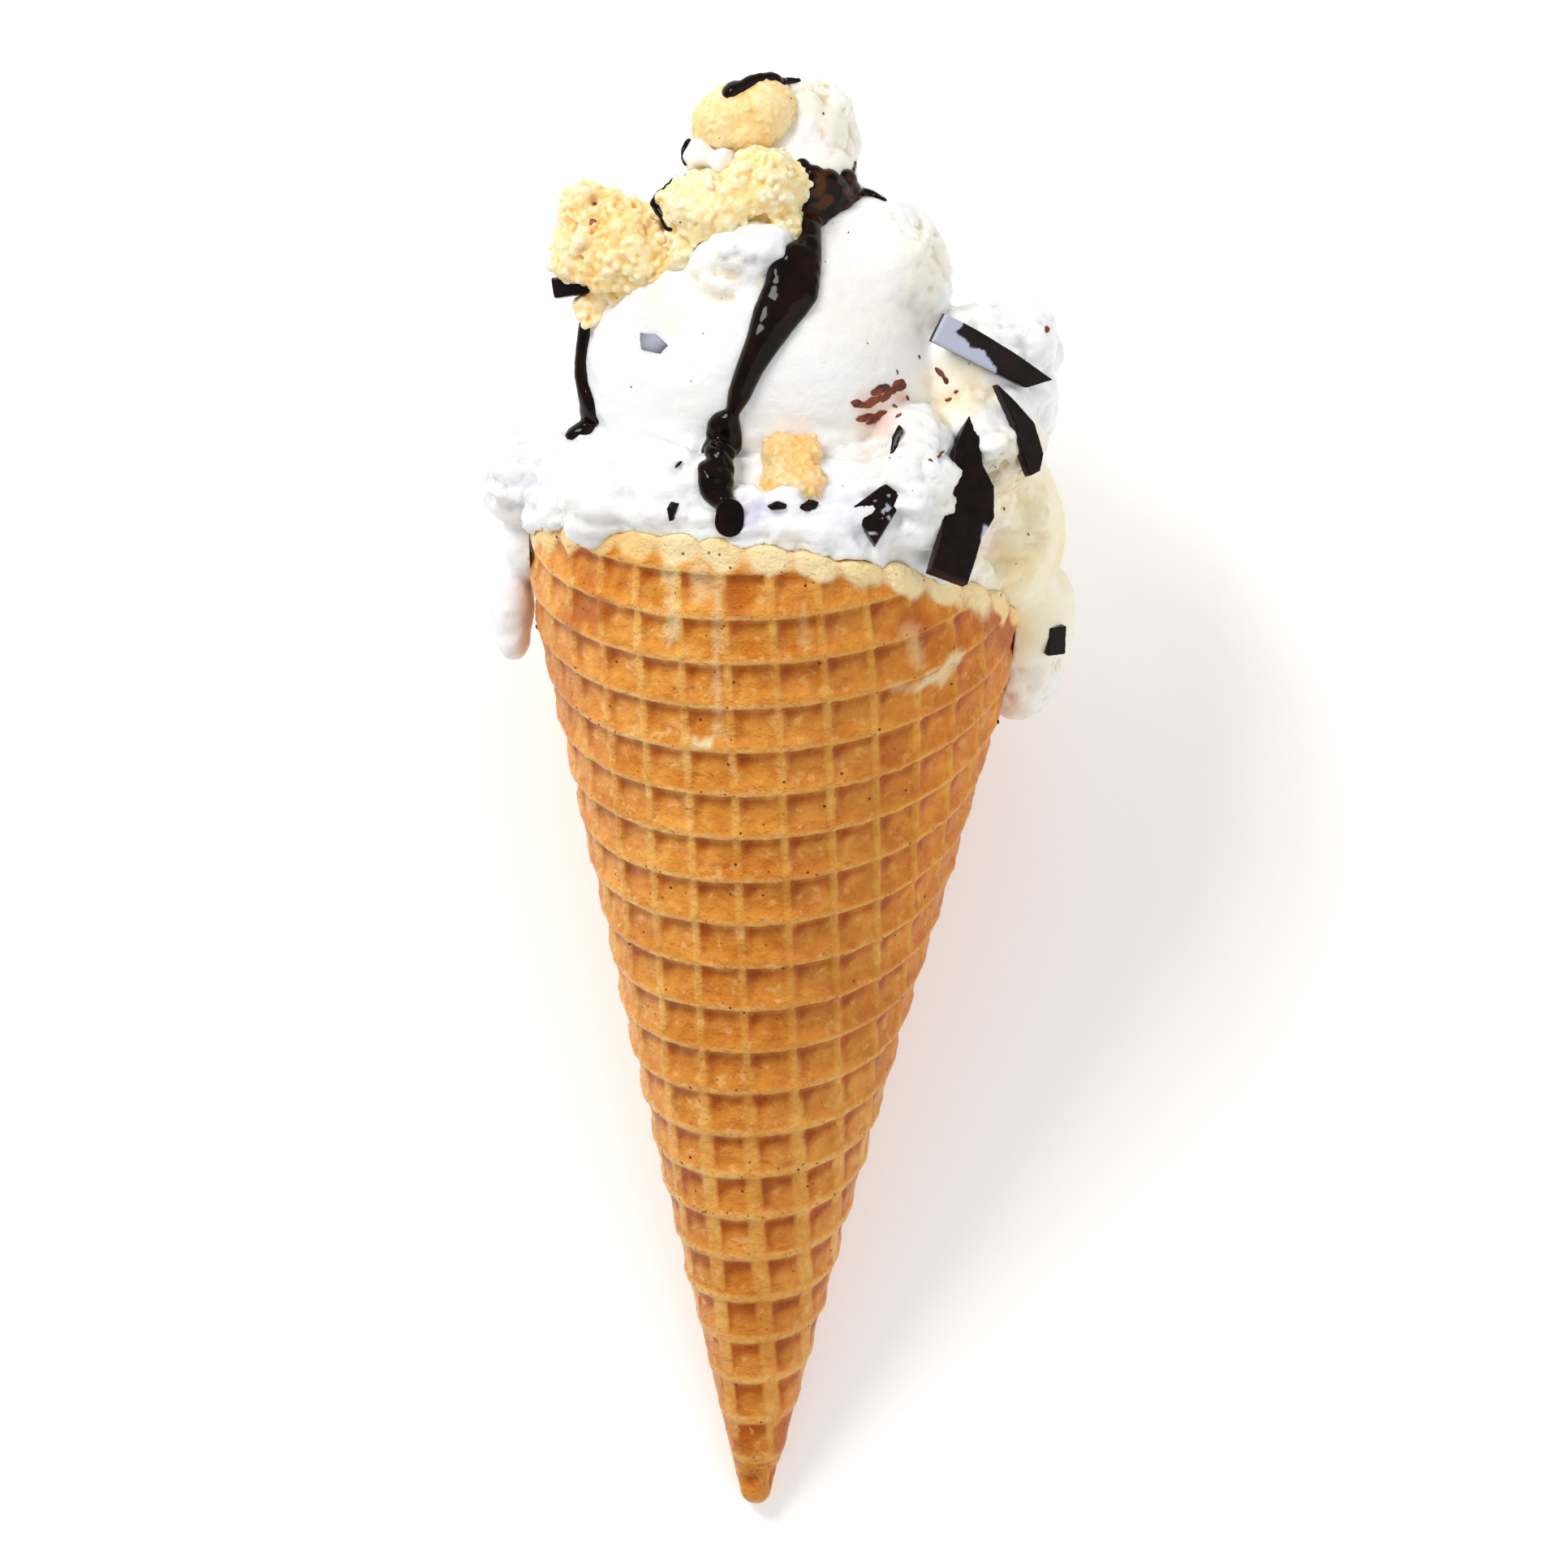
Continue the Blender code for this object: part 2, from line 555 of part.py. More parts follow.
def make_ice_cream(parts, guides):
    plug = []
    for i in range(5):
        along = PLUG_FROM + (PLUG_TO - PLUG_FROM) * i / 4
        plug.append((along * tan(HALF_ANGLE) - PLUG_INSIDE, along))
    profile = [(0.0, PLUG_FROM)] + plug + [(0.0, PLUG_TO)]
    base = turned("ice_cream", profile, 28, guides)
    lumps = bpy.data.collections.new("lumps")
    guides.children.link(lumps)
    centre = lay_down(0.0, 0.0, SKIRT_ALONG)
    skirt = lump("skirt", (0.0, 0.0, 0.0), SKIRT_RADII, 0.04, 3, lumps)
    tilt = Matrix.Rotation(HALF_ANGLE, 4, "X")
    skirt.data.transform(Matrix.Translation(centre * MM) @ tilt)
    for name, (place, radii, rough, level) in LUMPS.items():
        lump(name, place, radii, rough, level, lumps)
    combine(base, lumps, "UNION")
    for thing in list(lumps.objects):
        remove_object(thing)
    simplify(base, LUMPS_KEEP)
    tree = surface_of(base)
    sauce_run("sauce_main", SAUCE_MAIN, tree, lumps)
    sauce_run("sauce_left", SAUCE_LEFT, tree, lumps)
    for i, (x, y, width) in enumerate(SAUCE_NECK):
        hit, normal = on_surface(tree, x, y)
        lump(f"sauce_pool_{i}", hit - normal * 0.3 * width, (width, width, 0.8 * width), 0.1, 2, lumps)
    for i, (x, y, length, width, turn) in enumerate(CHIPS):
        chip(f"chip_{i}", x, y, length, width, turn, tree, lumps)
    combine(base, lumps, "UNION")
    for thing in list(lumps.objects):
        remove_object(thing)
    bpy.data.collections.remove(lumps)
    guides.objects.unlink(base)
    parts.objects.link(base)
    return base


def cut_floor(thing, collection):
    """Cut the thing flat where it rests."""
    bm = bmesh.new()
    bmesh.ops.create_cube(bm, size=1.0)
    bmesh.ops.scale(bm, vec=(0.4, 0.4, 0.1), verts=bm.verts)
    bmesh.ops.translate(bm, vec=(0.0, 0.0, -0.05), verts=bm.verts)
    block = add_object("floor_block", mesh_from(bm, "floor_block"), collection)
    combine(thing, block, "DIFFERENCE")
    remove_object(block)


def cut_clear(thing, neighbours, amount, collection):
    for neighbour in neighbours:
        room = swollen(neighbour, amount, collection)
        combine(thing, room, "DIFFERENCE")
        remove_object(room)


def centre_on_floor(things):
    """Move all meshes so that the origin is at the bottom centre of their box."""
    corners = [vert.co for thing in things for vert in thing.data.vertices]
    low = Vector([min(corner[axis] for corner in corners) for axis in range(3)])
    high = Vector([max(corner[axis] for corner in corners) for axis in range(3)])
    shift = Matrix.Translation((-(low.x + high.x) / 2.0, -(low.y + high.y) / 2.0, -low.z))
    for thing in things:
        thing.data.transform(shift)


def main():
    for thing in list(bpy.data.objects):
        bpy.data.objects.remove(thing, do_unlink=True)
    parts = bpy.data.collections.new(COLLECTION_NAME)
    guides = bpy.data.collections.new("guides")
    bpy.context.scene.collection.children.link(parts)
    bpy.context.scene.collection.children.link(guides)

    wafer = material("wafer", (0.62, 0.30, 0.09), 0.6)
    cream = material("ice_cream", (0.90, 0.87, 0.78), 0.45)
    crumb = material("cake", (0.82, 0.62, 0.25), 0.85)
    dark = material("chocolate", (0.035, 0.014, 0.011), 0.3)

    cone = make_waffle_cone(parts, guides)
    room = wafer_room(guides)

    chocolate = [make_shard(name, *spec, parts, guides) for name, spec in SHARDS.items()]
    chocolate += [make_chunk(name, *spec, parts) for name, spec in CHUNKS.items()]
    cakes = [make_cake(name, lumps, parts, guides) for name, lumps in CAKES.items()]
    done = list(chocolate)
    for cake in cakes:
        cut_clear(cake, done, GAP, guides)
        largest_body(cake)
        done.append(cake)

    ice = make_ice_cream(parts, guides)
    combine(ice, room, "DIFFERENCE")
    remove_object(room)
    cut_clear(ice, done, GAP, guides)
    cut_floor(ice, guides)
    largest_body(ice)

    for thing, made in [(cone, wafer), (ice, cream)] + [(c, crumb) for c in cakes] + [(c, dark) for c in chocolate]:
        thing.data.materials.clear()
        thing.data.materials.append(made)
    centre_on_floor(list(parts.objects))
    hide_guides(guides)


main()
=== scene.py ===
# %% [markdown]
# # A waffle cone with vanilla ice cream
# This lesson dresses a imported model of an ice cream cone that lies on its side. The frame gives
# the CAD solids at their real size. Each is replaced here by a finer mesh that keeps the same
# measures: a rolled sheet with soft pockets, ice cream that is smooth where it was scooped and
# crumbly at its edges, cake crumb and snapped chocolate. Sauce, chips and shavings are added.

# %% Load the frame
from math import atan2, ceil, cos, hypot, pi, radians, sin, tan

import bmesh
import bpy
import numpy as np
from mathutils import Euler, Matrix, Vector, noise
from mathutils.bvhtree import BVHTree


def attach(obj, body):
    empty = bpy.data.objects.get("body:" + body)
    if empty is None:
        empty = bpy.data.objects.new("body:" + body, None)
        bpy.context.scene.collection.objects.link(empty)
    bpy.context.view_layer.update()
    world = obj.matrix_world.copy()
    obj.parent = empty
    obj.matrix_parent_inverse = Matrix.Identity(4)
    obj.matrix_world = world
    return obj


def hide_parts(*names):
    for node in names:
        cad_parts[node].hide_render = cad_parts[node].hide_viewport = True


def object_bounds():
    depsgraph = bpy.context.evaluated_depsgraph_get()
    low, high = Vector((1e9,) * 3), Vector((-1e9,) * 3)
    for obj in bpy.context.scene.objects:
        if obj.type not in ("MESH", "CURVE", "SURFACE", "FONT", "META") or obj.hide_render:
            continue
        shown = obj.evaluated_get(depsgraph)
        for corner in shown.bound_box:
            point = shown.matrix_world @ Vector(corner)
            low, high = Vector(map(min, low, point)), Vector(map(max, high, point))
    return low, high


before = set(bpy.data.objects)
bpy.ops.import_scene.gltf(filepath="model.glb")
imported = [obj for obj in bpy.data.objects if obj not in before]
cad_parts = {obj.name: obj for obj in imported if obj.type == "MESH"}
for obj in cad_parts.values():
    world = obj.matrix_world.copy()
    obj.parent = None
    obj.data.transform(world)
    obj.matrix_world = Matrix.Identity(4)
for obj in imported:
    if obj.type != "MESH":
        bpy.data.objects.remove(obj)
cad_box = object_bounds()
print("CAD box", [round(side, 4) for corner in cad_box for side in corner])

# %% [markdown]
# All shapes are drawn in millimetres, in the drawing that the solids came from. Its origin lies
# close to the frame's. At the end each mesh is turned into metres and moved to the frame, so its
# object can stay at the origin, which keeps every pattern on Object coordinates in place.
# Closed meshes are joined and cut by Booleans. A voxel remesh melts shapes that overlap into one
# even skin, as warm food does.

# %% Meshes, Booleans and melting
MM = 0.001
ORIGIN = Vector((-0.03, 2.035, 0.0))     # the drawing's origin, seen from the frame's, in mm
TO_FRAME = Matrix.Scale(MM, 4) @ Matrix.Translation(ORIGIN)
scene = bpy.context.scene


def smoothstep(value):
    value = np.clip(value, 0.0, 1.0)
    return value * value * (3.0 - 2.0 * value)


def add_object(name, data):
    made = bpy.data.objects.new(name, data)
    scene.collection.objects.link(made)
    return made


def mesh_of(bm, name):
    mesh = bpy.data.meshes.new(name)
    bm.to_mesh(mesh)
    bm.free()
    return mesh


def evaluated_mesh(thing):
    graph = bpy.context.evaluated_depsgraph_get()
    return bpy.data.meshes.new_from_object(thing.evaluated_get(graph))


def apply_modifiers(thing):
    mesh = evaluated_mesh(thing)
    thing.modifiers.clear()
    thing.data = mesh


def drop(thing):
    bpy.data.objects.remove(thing, do_unlink=True)


def combine(target, other, operation):
    """Join, cut or intersect the target with another closed mesh, which is used up."""
    modifier = target.modifiers.new("combine", "BOOLEAN")
    modifier.operation = operation
    modifier.solver = "MANIFOLD"
    modifier.object = other
    apply_modifiers(target)
    drop(other)


def soften(thing, iterations, voxel=None):
    """Smooth a mesh, after a voxel remesh where a voxel size is given."""
    if voxel is not None:
        remesh = thing.modifiers.new("melt", "REMESH")
        remesh.mode = "VOXEL"
        remesh.voxel_size = voxel
    smooth = thing.modifiers.new("smooth", "SMOOTH")
    smooth.iterations = iterations
    apply_modifiers(thing)


def melted(name, bm, voxel, smoothing):
    piece = add_object(name, mesh_of(bm, name))
    soften(piece, smoothing, voxel)
    return piece


# %% [markdown]
# A vertex can be moved along its normal by a noise, which is the quickest way to make food look
# uneven. The helper below reads all vertices into arrays, asks for one push for each of them,
# and writes them back, so a mesh of a hundred thousand vertices takes only a second or two.

# %% Read, push and write vertices
def vertex_values(mesh, field):
    values = np.empty(len(mesh.vertices) * 3)
    mesh.vertices.foreach_get(field, values)
    return values.reshape(-1, 3)


def coordinates(mesh):
    return vertex_values(mesh, "co")


def normals(mesh):
    return vertex_values(mesh, "normal")


def set_coordinates(mesh, places):
    mesh.vertices.foreach_set("co", places.ravel())
    mesh.update()


def noise_field(places, size, seed, octaves=1):
    """Noise of about -1 to 1 at each place, with lumps of the given size in mm."""
    offset = Vector((seed * 7.3, seed * 3.1, seed * 5.7))
    total = np.zeros(len(places))
    for octave in range(octaves):
        step = size / 2 ** octave
        part = [noise.noise(Vector(place) / step + offset) for place in places]
        total += np.array(part) / 2 ** octave
    return total


def away_from(places, x, y):
    """Distance in mm from a point, seen from above."""
    return np.hypot(places[:, 0] - x, places[:, 1] - y)


def push_along_normals(mesh, amount):
    set_coordinates(mesh, coordinates(mesh) + normals(mesh) * amount[:, None])


def store_value(mesh, name, values):
    layer = mesh.attributes.new(name, "FLOAT", "POINT")
    layer.data.foreach_set("value", np.asarray(values, dtype=np.float32))


def store_raised(piece, iterations):
    """Store and return how far each point stands out from a smoothed copy, in mm."""
    copy = add_object("smoothed", piece.data.copy())
    soften(copy, iterations)
    out = ((coordinates(piece.data) - coordinates(copy.data)) * normals(copy.data)).sum(axis=1)
    drop(copy)
    store_value(piece.data, "raised", out)
    return out


# %% [markdown]
# Every finish is a small node tree built from the same bricks: a noise on Object coordinates, a
# ramp that turns it into a colour, and a bump that gives it relief. A class holds the tree of one
# material, and each of its methods adds one brick, so that a finish reads like a recipe. Object
# coordinates are metres here, so a noise scale of 1000 has lumps of 1 mm.

# %% Bricks for the materials
MIX_INPUTS = (0, 6, 7)               # a colour mix's factor and its two colours


def linear(colour):
    """The shader's form of a colour read from a picture, three values of 0 to 255. A tint, four
    values of 0 to 1, stays as it is."""
    if len(colour) == 4:
        return colour
    shares = [value / 255.0 for value in colour]
    dark = 0.04045
    return (*[share / 12.92 if share <= dark else ((share + 0.055) / 1.055) ** 2.4
              for share in shares], 1.0)


def grey(value):
    return (value, value, value, 1.0)


class Finish:
    """The node tree of one material. Each brick adds a node and returns its output."""

    def __init__(self, name, **inputs):
        self.material = bpy.data.materials.new(name)
        self.material.use_nodes = True
        self.nodes = self.material.node_tree.nodes
        self.links = self.material.node_tree.links
        self.shader = self.nodes["Principled BSDF"]
        self.place = self.nodes.new("ShaderNodeTexCoord").outputs["Object"]
        self.feed(self.shader, **inputs)

    def plug(self, source, socket):
        if isinstance(source, bpy.types.NodeSocket):
            self.links.new(source, socket)
        elif socket.type == "RGBA":
            socket.default_value = linear(source)
        else:
            socket.default_value = source

    def feed(self, node, **inputs):
        """Set or link a node's inputs. In their names _ stands for a space."""
        for name, source in inputs.items():
            self.plug(source, node.inputs[name.replace("_", " ")])

    def brick(self, kind, **inputs):
        made = self.nodes.new("ShaderNode" + kind)
        self.feed(made, **inputs)
        return made

    def noise(self, scale, detail=3.0, rough=0.55):
        made = self.brick("TexNoise", Vector=self.place, Scale=scale, Detail=detail, Roughness=rough)
        return made.outputs["Fac"]

    def cells(self, scale):
        return self.brick("TexVoronoi", Vector=self.place, Scale=scale).outputs["Distance"]

    def across(self):
        """The object's own X, from left to right, in metres."""
        return self.brick("SeparateXYZ", Vector=self.place).outputs["X"]

    def stored(self, name):
        """A value that the mesh stores at its points."""
        made = self.brick("Attribute")
        made.attribute_name = name
        return made.outputs["Fac"]

    def between(self, source, low, high):
        """A soft step, 0 at low and 1 at high."""
        made = self.brick("MapRange", Value=source, From_Min=low, From_Max=high)
        made.interpolation_type = "SMOOTHSTEP"
        return made.outputs["Result"]

    def ramp(self, source, *stops):
        """A colour ramp; each stop is (position, colour)."""
        made = self.brick("ValToRGB", Fac=source)
        elements = made.color_ramp.elements
        while len(elements) < len(stops):
            elements.new(0.5)
        for element, (position, colour) in zip(elements, stops):
            element.position = position
            element.color = linear(colour)
        return made.outputs["Color"]

    def mix(self, factor, first, second, blend="MIX"):
        made = self.brick("Mix")
        made.data_type = "RGBA"
        made.blend_type = blend
        for source, place in zip((factor, first, second), MIX_INPUTS):
            self.plug(source, made.inputs[place])
        return made.outputs[2]

    def times(self, first, second):
        return self.mix(1.0, first, second, "MULTIPLY")

    def bump(self, *layers):
        """Stack bumps; each layer is (height source, distance in mm)."""
        below = {}
        for source, distance in layers:
            made = self.brick("Bump", Height=source, Distance=distance * MM, **below)
            below = {"Normal": made.outputs["Normal"]}
        self.feed(self.shader, **below)


# %% [markdown]
# ## The wafer
# A waffle cone is baked flat, between two plates that press a square grid into it, and is rolled
# round a wooden cone while it is hot. So its grid is straight in the flat sheet and bends into
# smiles on the cone. The sheet is made flat here too, as a fine grid whose height falls into each
# pocket, is cut to its outline, and then every point is rolled. The rule is the one that the CAD
# solid uses, so the two stay together.

# %% Measures of the cone
HALF_ANGLE = radians(14.03)
APEX = Vector((-3.4, -106.4, 0.0))
LEAN, LEAN_FROM, LEAN_LENGTH = 3.2, 42.0, 108.0
WALL = 2.2
POCKET_DEPTH = 1.0
CELL = 6.55
GRID_TURN = radians(4.6)
GRID_SIDE, GRID_UP = 4.3, 86.1
RIM_MIDDLE, RIM_SWING, RIM_HIGH = 143.4, 11.8, radians(-26.5)
RIM_SCALLOP = 1.3
RIM_CURL, RIM_CURL_LENGTH = 2.0, 16.0
SHEET_START, SHEET_END, OVERLAP = radians(-270.0), radians(115.0), radians(25.0)
SPIRAL, SPIRAL_EVEN = 2.8, radians(-22.0)
FULL_WALL_FROM, THINNEST = 45.0, 0.3   # below this slant the wall thins, down to this share
SHEET_BOTTOM, OVERLAP_BOTTOM = 14.0, 50.0
TIP_RADIUS, TIP_TOP = 2.13, 50.0


def lay_down(side, up, along):
    """A point given beside, above and along the cone's axis, in the lying drawing."""
    return Vector((
        APEX.x + LEAN * float(smoothstep((along - LEAN_FROM) / LEAN_LENGTH)) + side,
        APEX.y + along * cos(HALF_ANGLE) - up * sin(HALF_ANGLE),
        APEX.z + along * sin(HALF_ANGLE) + up * cos(HALF_ANGLE),
    ))


def rim_even(around):
    return RIM_MIDDLE + RIM_SWING * cos(around - RIM_HIGH)


def roll(flat):
    """Roll one point of the flat sheet to the cone, with its radius growing in a spiral."""
    slant = hypot(flat.x, flat.y)
    around = (atan2(flat.x, flat.y) - GRID_TURN) / sin(HALF_ANGLE)
    shrink = max(THINNEST, min(1.0, slant / FULL_WALL_FROM))
    rise = (SPIRAL * (around - SPIRAL_EVEN) / (2.0 * pi) + flat.z) * shrink
    curl = max(0.0, 1.0 - (rim_even(around) - slant) / RIM_CURL_LENGTH)
    out = slant * sin(HALF_ANGLE) + rise * cos(HALF_ANGLE) - RIM_CURL * curl * curl
    along = slant * cos(HALF_ANGLE) - rise * sin(HALF_ANGLE)
    return lay_down(out * sin(around), out * cos(around), along)


# %% [markdown]
# The outline of the sheet is a filled 2D curve. Its rim swings up and down once around the cone,
# because the flat sheet is a disc whose centre isn't the cone's apex. Where a rib meets the rim
# the batter made a small rounded tongue, and those tongues give the rim its scallops.

# %% The sheet's outline
OUTLINE_STEP = 0.7
FOLD_REACH = 130.0                # slant at which a grown outline's straight edges are measured
OVERLAP_STEP = 3.0                # how far the overlap's lower edge falls


def flat_point(slant, around):
    turn = around * sin(HALF_ANGLE) + GRID_TURN
    return Vector((slant * sin(turn), slant * cos(turn), 0.0))


def rim_slant(around):
    even = rim_even(around)
    side = even * sin(around * sin(HALF_ANGLE) + GRID_TURN)
    wander = noise.noise(Vector((around * 3.0, 0.0, 4.0)))
    tongue = abs(cos(pi * (side - GRID_SIDE) / CELL)) ** 0.7
    strength = 0.8 + 0.9 * noise.noise(Vector((around * 5.0, 2.0, 9.0)))
    return even + RIM_SCALLOP * tongue * strength + 0.5 * wander


def sheet_outline(grow):
    start = SHEET_START - grow / FOLD_REACH
    end = SHEET_END + grow / FOLD_REACH
    meet = SHEET_START + OVERLAP + radians(4.0)
    count = int(ceil((end - start) * sin(HALF_ANGLE) * RIM_MIDDLE / OUTLINE_STEP))
    points = []
    for i in range(count + 1):
        around = start + (end - start) * i / count
        points.append(flat_point(rim_slant(around) + grow, around))
    for around in (end, 0.5 * (end + meet), meet):
        points.append(flat_point(SHEET_BOTTOM, around))
    points.append(flat_point(OVERLAP_BOTTOM - OVERLAP_STEP, meet))
    points.append(flat_point(OVERLAP_BOTTOM, start))
    return points


def flat_prism(name, points, half_height):
    curve = bpy.data.curves.new(name, "CURVE")
    curve.dimensions = "2D"
    curve.fill_mode = "BOTH"
    curve.extrude = half_height
    spline = curve.splines.new("POLY")
    spline.points.add(len(points) - 1)
    for place, point in zip(spline.points, points):
        place.co = (point[0], point[1], 0.0, 1.0)
    spline.use_cyclic_u = True
    holder = add_object(name, curve)
    bm = bmesh.new()
    bm.from_mesh(evaluated_mesh(holder))
    drop(holder)
    bmesh.ops.remove_doubles(bm, verts=bm.verts, dist=0.001)
    bmesh.ops.recalc_face_normals(bm, faces=bm.faces)
    return add_object(name, mesh_of(bm, name))


# %% [markdown]
# One function makes the flat slab. With many small squares to each cell it carries the pockets:
# the height is that of a rounded rib near the grid lines and of a slightly bulging floor between
# them. With a few squares to each cell and no pockets it serves as the cutter that keeps the ice
# cream out of the wafer's wall.

# %% The flat slab
CUTTER_HALF = 10.0                    # half height of the prism that cuts the outline
TIGHT_BELOW = 60.0                    # below this slant the back needs finer squares to roll well


def in_sheet(centre):
    slant = hypot(centre.x, centre.y)
    turn = atan2(centre.x, centre.y)
    margin = CELL / max(slant, CELL)
    first = SHEET_START * sin(HALF_ANGLE) + GRID_TURN - margin
    last = SHEET_END * sin(HALF_ANGLE) + GRID_TURN + margin
    return SHEET_BOTTOM - CELL < slant < RIM_MIDDLE + RIM_SWING + CELL and first < turn < last


def flat_sheet(name, bottom, top, fineness, outline):
    reach = RIM_MIDDLE + RIM_SWING + CELL
    columns = 2 * int(ceil(reach / CELL))
    rows = int(ceil(reach / CELL)) + 1
    left = GRID_SIDE - CELL * columns / 2
    low = GRID_UP - CELL * ceil(GRID_UP / CELL)
    bm = bmesh.new()
    bmesh.ops.create_grid(bm, x_segments=columns, y_segments=rows, size=0.5)
    for vert in bm.verts:
        side = left + (vert.co.x + 0.5) * columns * CELL
        up = low + (vert.co.y + 0.5) * rows * CELL
        vert.co = (side, up, bottom)
    outside = [face for face in bm.faces if not in_sheet(face.calc_center_median())]
    bmesh.ops.delete(bm, geom=outside, context="FACES")
    raised = bmesh.ops.extrude_face_region(bm, geom=bm.faces[:], use_keep_orig=True)
    for item in raised["geom"]:
        if isinstance(item, bmesh.types.BMVert):
            item.co.z = top
    bmesh.ops.recalc_face_normals(bm, faces=bm.faces)
    if fineness > 1:
        upward = [face for face in bm.faces if face.normal.z > 0.5]
        upper = list(dict.fromkeys(edge for face in upward for edge in face.edges))
        bmesh.ops.subdivide_edges(bm, edges=upper, cuts=fineness - 1, use_grid_fill=True)
    tight = []
    for edge in bm.edges:
        first, last = [vert.co for vert in edge.verts]
        if max(first.z, last.z) < top - 0.1 and (first + last).xy.length / 2.0 < TIGHT_BELOW:
            tight.append(edge)
    bmesh.ops.subdivide_edges(bm, edges=tight, cuts=1, use_grid_fill=True)
    sheet = add_object(name, mesh_of(bm, name))
    combine(sheet, flat_prism(name + "_outline", outline, CUTTER_HALF), "INTERSECT")
    return sheet


# %% [markdown]
# The ribs that run across the sheet have a thin crest, a steep flank below it and a gentle one
# above, so the top of each pocket lies in shade. The ribs that run up the sheet are lower and
# thinner, but near the tip they grow broader and the pockets shallower. Values for the crests and
# for a painted shade are worked out here too, for the finish: the shade is painted below each
# rib, right of each upright rib, and more of it near the tip.

# %% The pockets' height
CREST, PALE_CREST = 0.30, 0.7         # half width of a rib's crest, and how far its pale line fades
STEEP_SIDE, GENTLE_SIDE = 0.65, 1.7   # how far its two flanks reach, in mm
SIDE_CREST, SIDE_FLANK = 0.16, 0.80   # crest and flank of the ribs that run up the sheet
SIDE_DROP = 0.38                      # how much lower than the others these are
BROAD_UNTIL, NARROW_FROM = 50.0, 85.0 # ribs are broad up to this slant and narrow past that one
BROADER, SHALLOWER = 0.35, 0.4        # mm that a crest gains near the tip, depth that it loses
PLATE_TILT = 0.38                     # a pocket's floor rises by this share towards its lower rib


def sheet_height(places):
    """Height below the crests, with the values of both kinds of crest and of the painted shade."""
    up = (places[:, 1] - GRID_UP) % CELL
    side = (places[:, 0] - GRID_SIDE) % CELL
    wobble = 0.16 * noise_field(places, 2.6, 7)
    above = 1.0 - smoothstep((up - CREST + wobble) / GENTLE_SIDE)
    under = 1.0 - smoothstep((CELL - up - CREST + wobble) / STEEP_SIDE)
    crest = np.maximum(above, under)
    slant = np.hypot(places[:, 0], places[:, 1])
    broad_rib = smoothstep((NARROW_FROM - slant) / (NARROW_FROM - BROAD_UNTIL))
    pale = 1.0 - smoothstep((up - CREST) / (PALE_CREST * (1.0 + broad_rib)))
    pale = np.maximum(pale, under)
    off_crest = np.minimum(side, CELL - side) - SIDE_CREST - BROADER * broad_rib
    upright = 1.0 - smoothstep((off_crest + wobble) / SIDE_FLANK)
    rib = np.maximum(crest, upright)
    floor = 1.0 - PLATE_TILT + PLATE_TILT * smoothstep(up / CELL * 1.15)
    deep = POCKET_DEPTH * (1.0 - SHALLOWER * broad_rib) * floor * (1.0 - rib)
    low_side_rib = SIDE_DROP * upright * (1.0 - crest) * POCKET_DEPTH
    relief = 0.17 * noise_field(places, 1.4, 3, 2) + 0.20 * noise_field(places, 14.0, 8)
    streak = noise_field(places * np.array([1.0, 0.35, 1.0]), 0.8, 5)
    relief += 0.13 * (streak * (1.0 - crest) + rib * noise_field(places, 3.0, 11))
    # Painted shade: darker below each rib, right of each upright rib, and more near the tip
    below_rib = smoothstep((up / CELL - 0.42 + 0.6 * wobble) / 0.45)
    beside_rib = smoothstep(1.15 - (side + 3.0 * wobble) / (0.42 * CELL))
    painted_shade = np.clip(0.72 * below_rib + 0.62 * beside_rib + 0.25 * broad_rib, 0.0, 1.0)
    return relief - deep - low_side_rib, pale, upright * (1.0 - pale), (1.0 - rib) * painted_shade


# %% [markdown]
# At the rim the batter ran out of the plates, so the pockets end in a low bead that swells to a
# tongue at each upright rib. Then every point is rolled.

# %% Bake, cut and roll the sheet
FINENESS = 9
BEAD, BEAD_MORE = 1.9, 1.5            # width of the bead, and what a tongue adds to it
BEAD_DROP, BEAD_SWELL = 0.55, 0.95    # how far the bead lies below the crests, and a tongue's rise
wafer = flat_sheet("wafer", -WALL, 0.0, FINENESS, sheet_outline(0.0))
flat_places = coordinates(wafer.data)
height, crest, upright, painted_shade = sheet_height(flat_places)
slants = np.hypot(flat_places[:, 0], flat_places[:, 1])
arounds = (np.arctan2(flat_places[:, 0], flat_places[:, 1]) - GRID_TURN) / sin(HALF_ANGLE)
to_rim = RIM_MIDDLE + RIM_SWING * np.cos(arounds - RIM_HIGH) - slants
upper = np.clip((flat_places[:, 2] + WALL) / WALL, 0.0, 1.0)
tongue = np.abs(np.cos(pi * (flat_places[:, 0] - GRID_SIDE) / CELL)) ** 0.8
bead = BEAD + BEAD_MORE * tongue
rim_bead = smoothstep(1.2 - to_rim / bead + 0.25 * noise_field(flat_places, 4.0, 19))
plump = tongue * (0.6 + 0.7 * noise_field(flat_places, 6.0, 25))
bulge = BEAD_SWELL * plump - BEAD_DROP + 0.22 * noise_field(flat_places, 2.2, 17, 2)
flat_places[:, 2] += (height * (1.0 - rim_bead) + rim_bead * bulge) * upper
rolled = np.array([roll(Vector(place)) for place in flat_places])
set_coordinates(wafer.data, rolled)
print("wafer sheet", len(rolled), "points")

# %% [markdown]
# The melting ice cream has run over the wafer in a few places: it has soaked the rim at the right,
# left a milky line below it and a small leak near the middle. These stains are stored as a value
# at each point, worked out from the distance to a short path, and the material mixes them in.

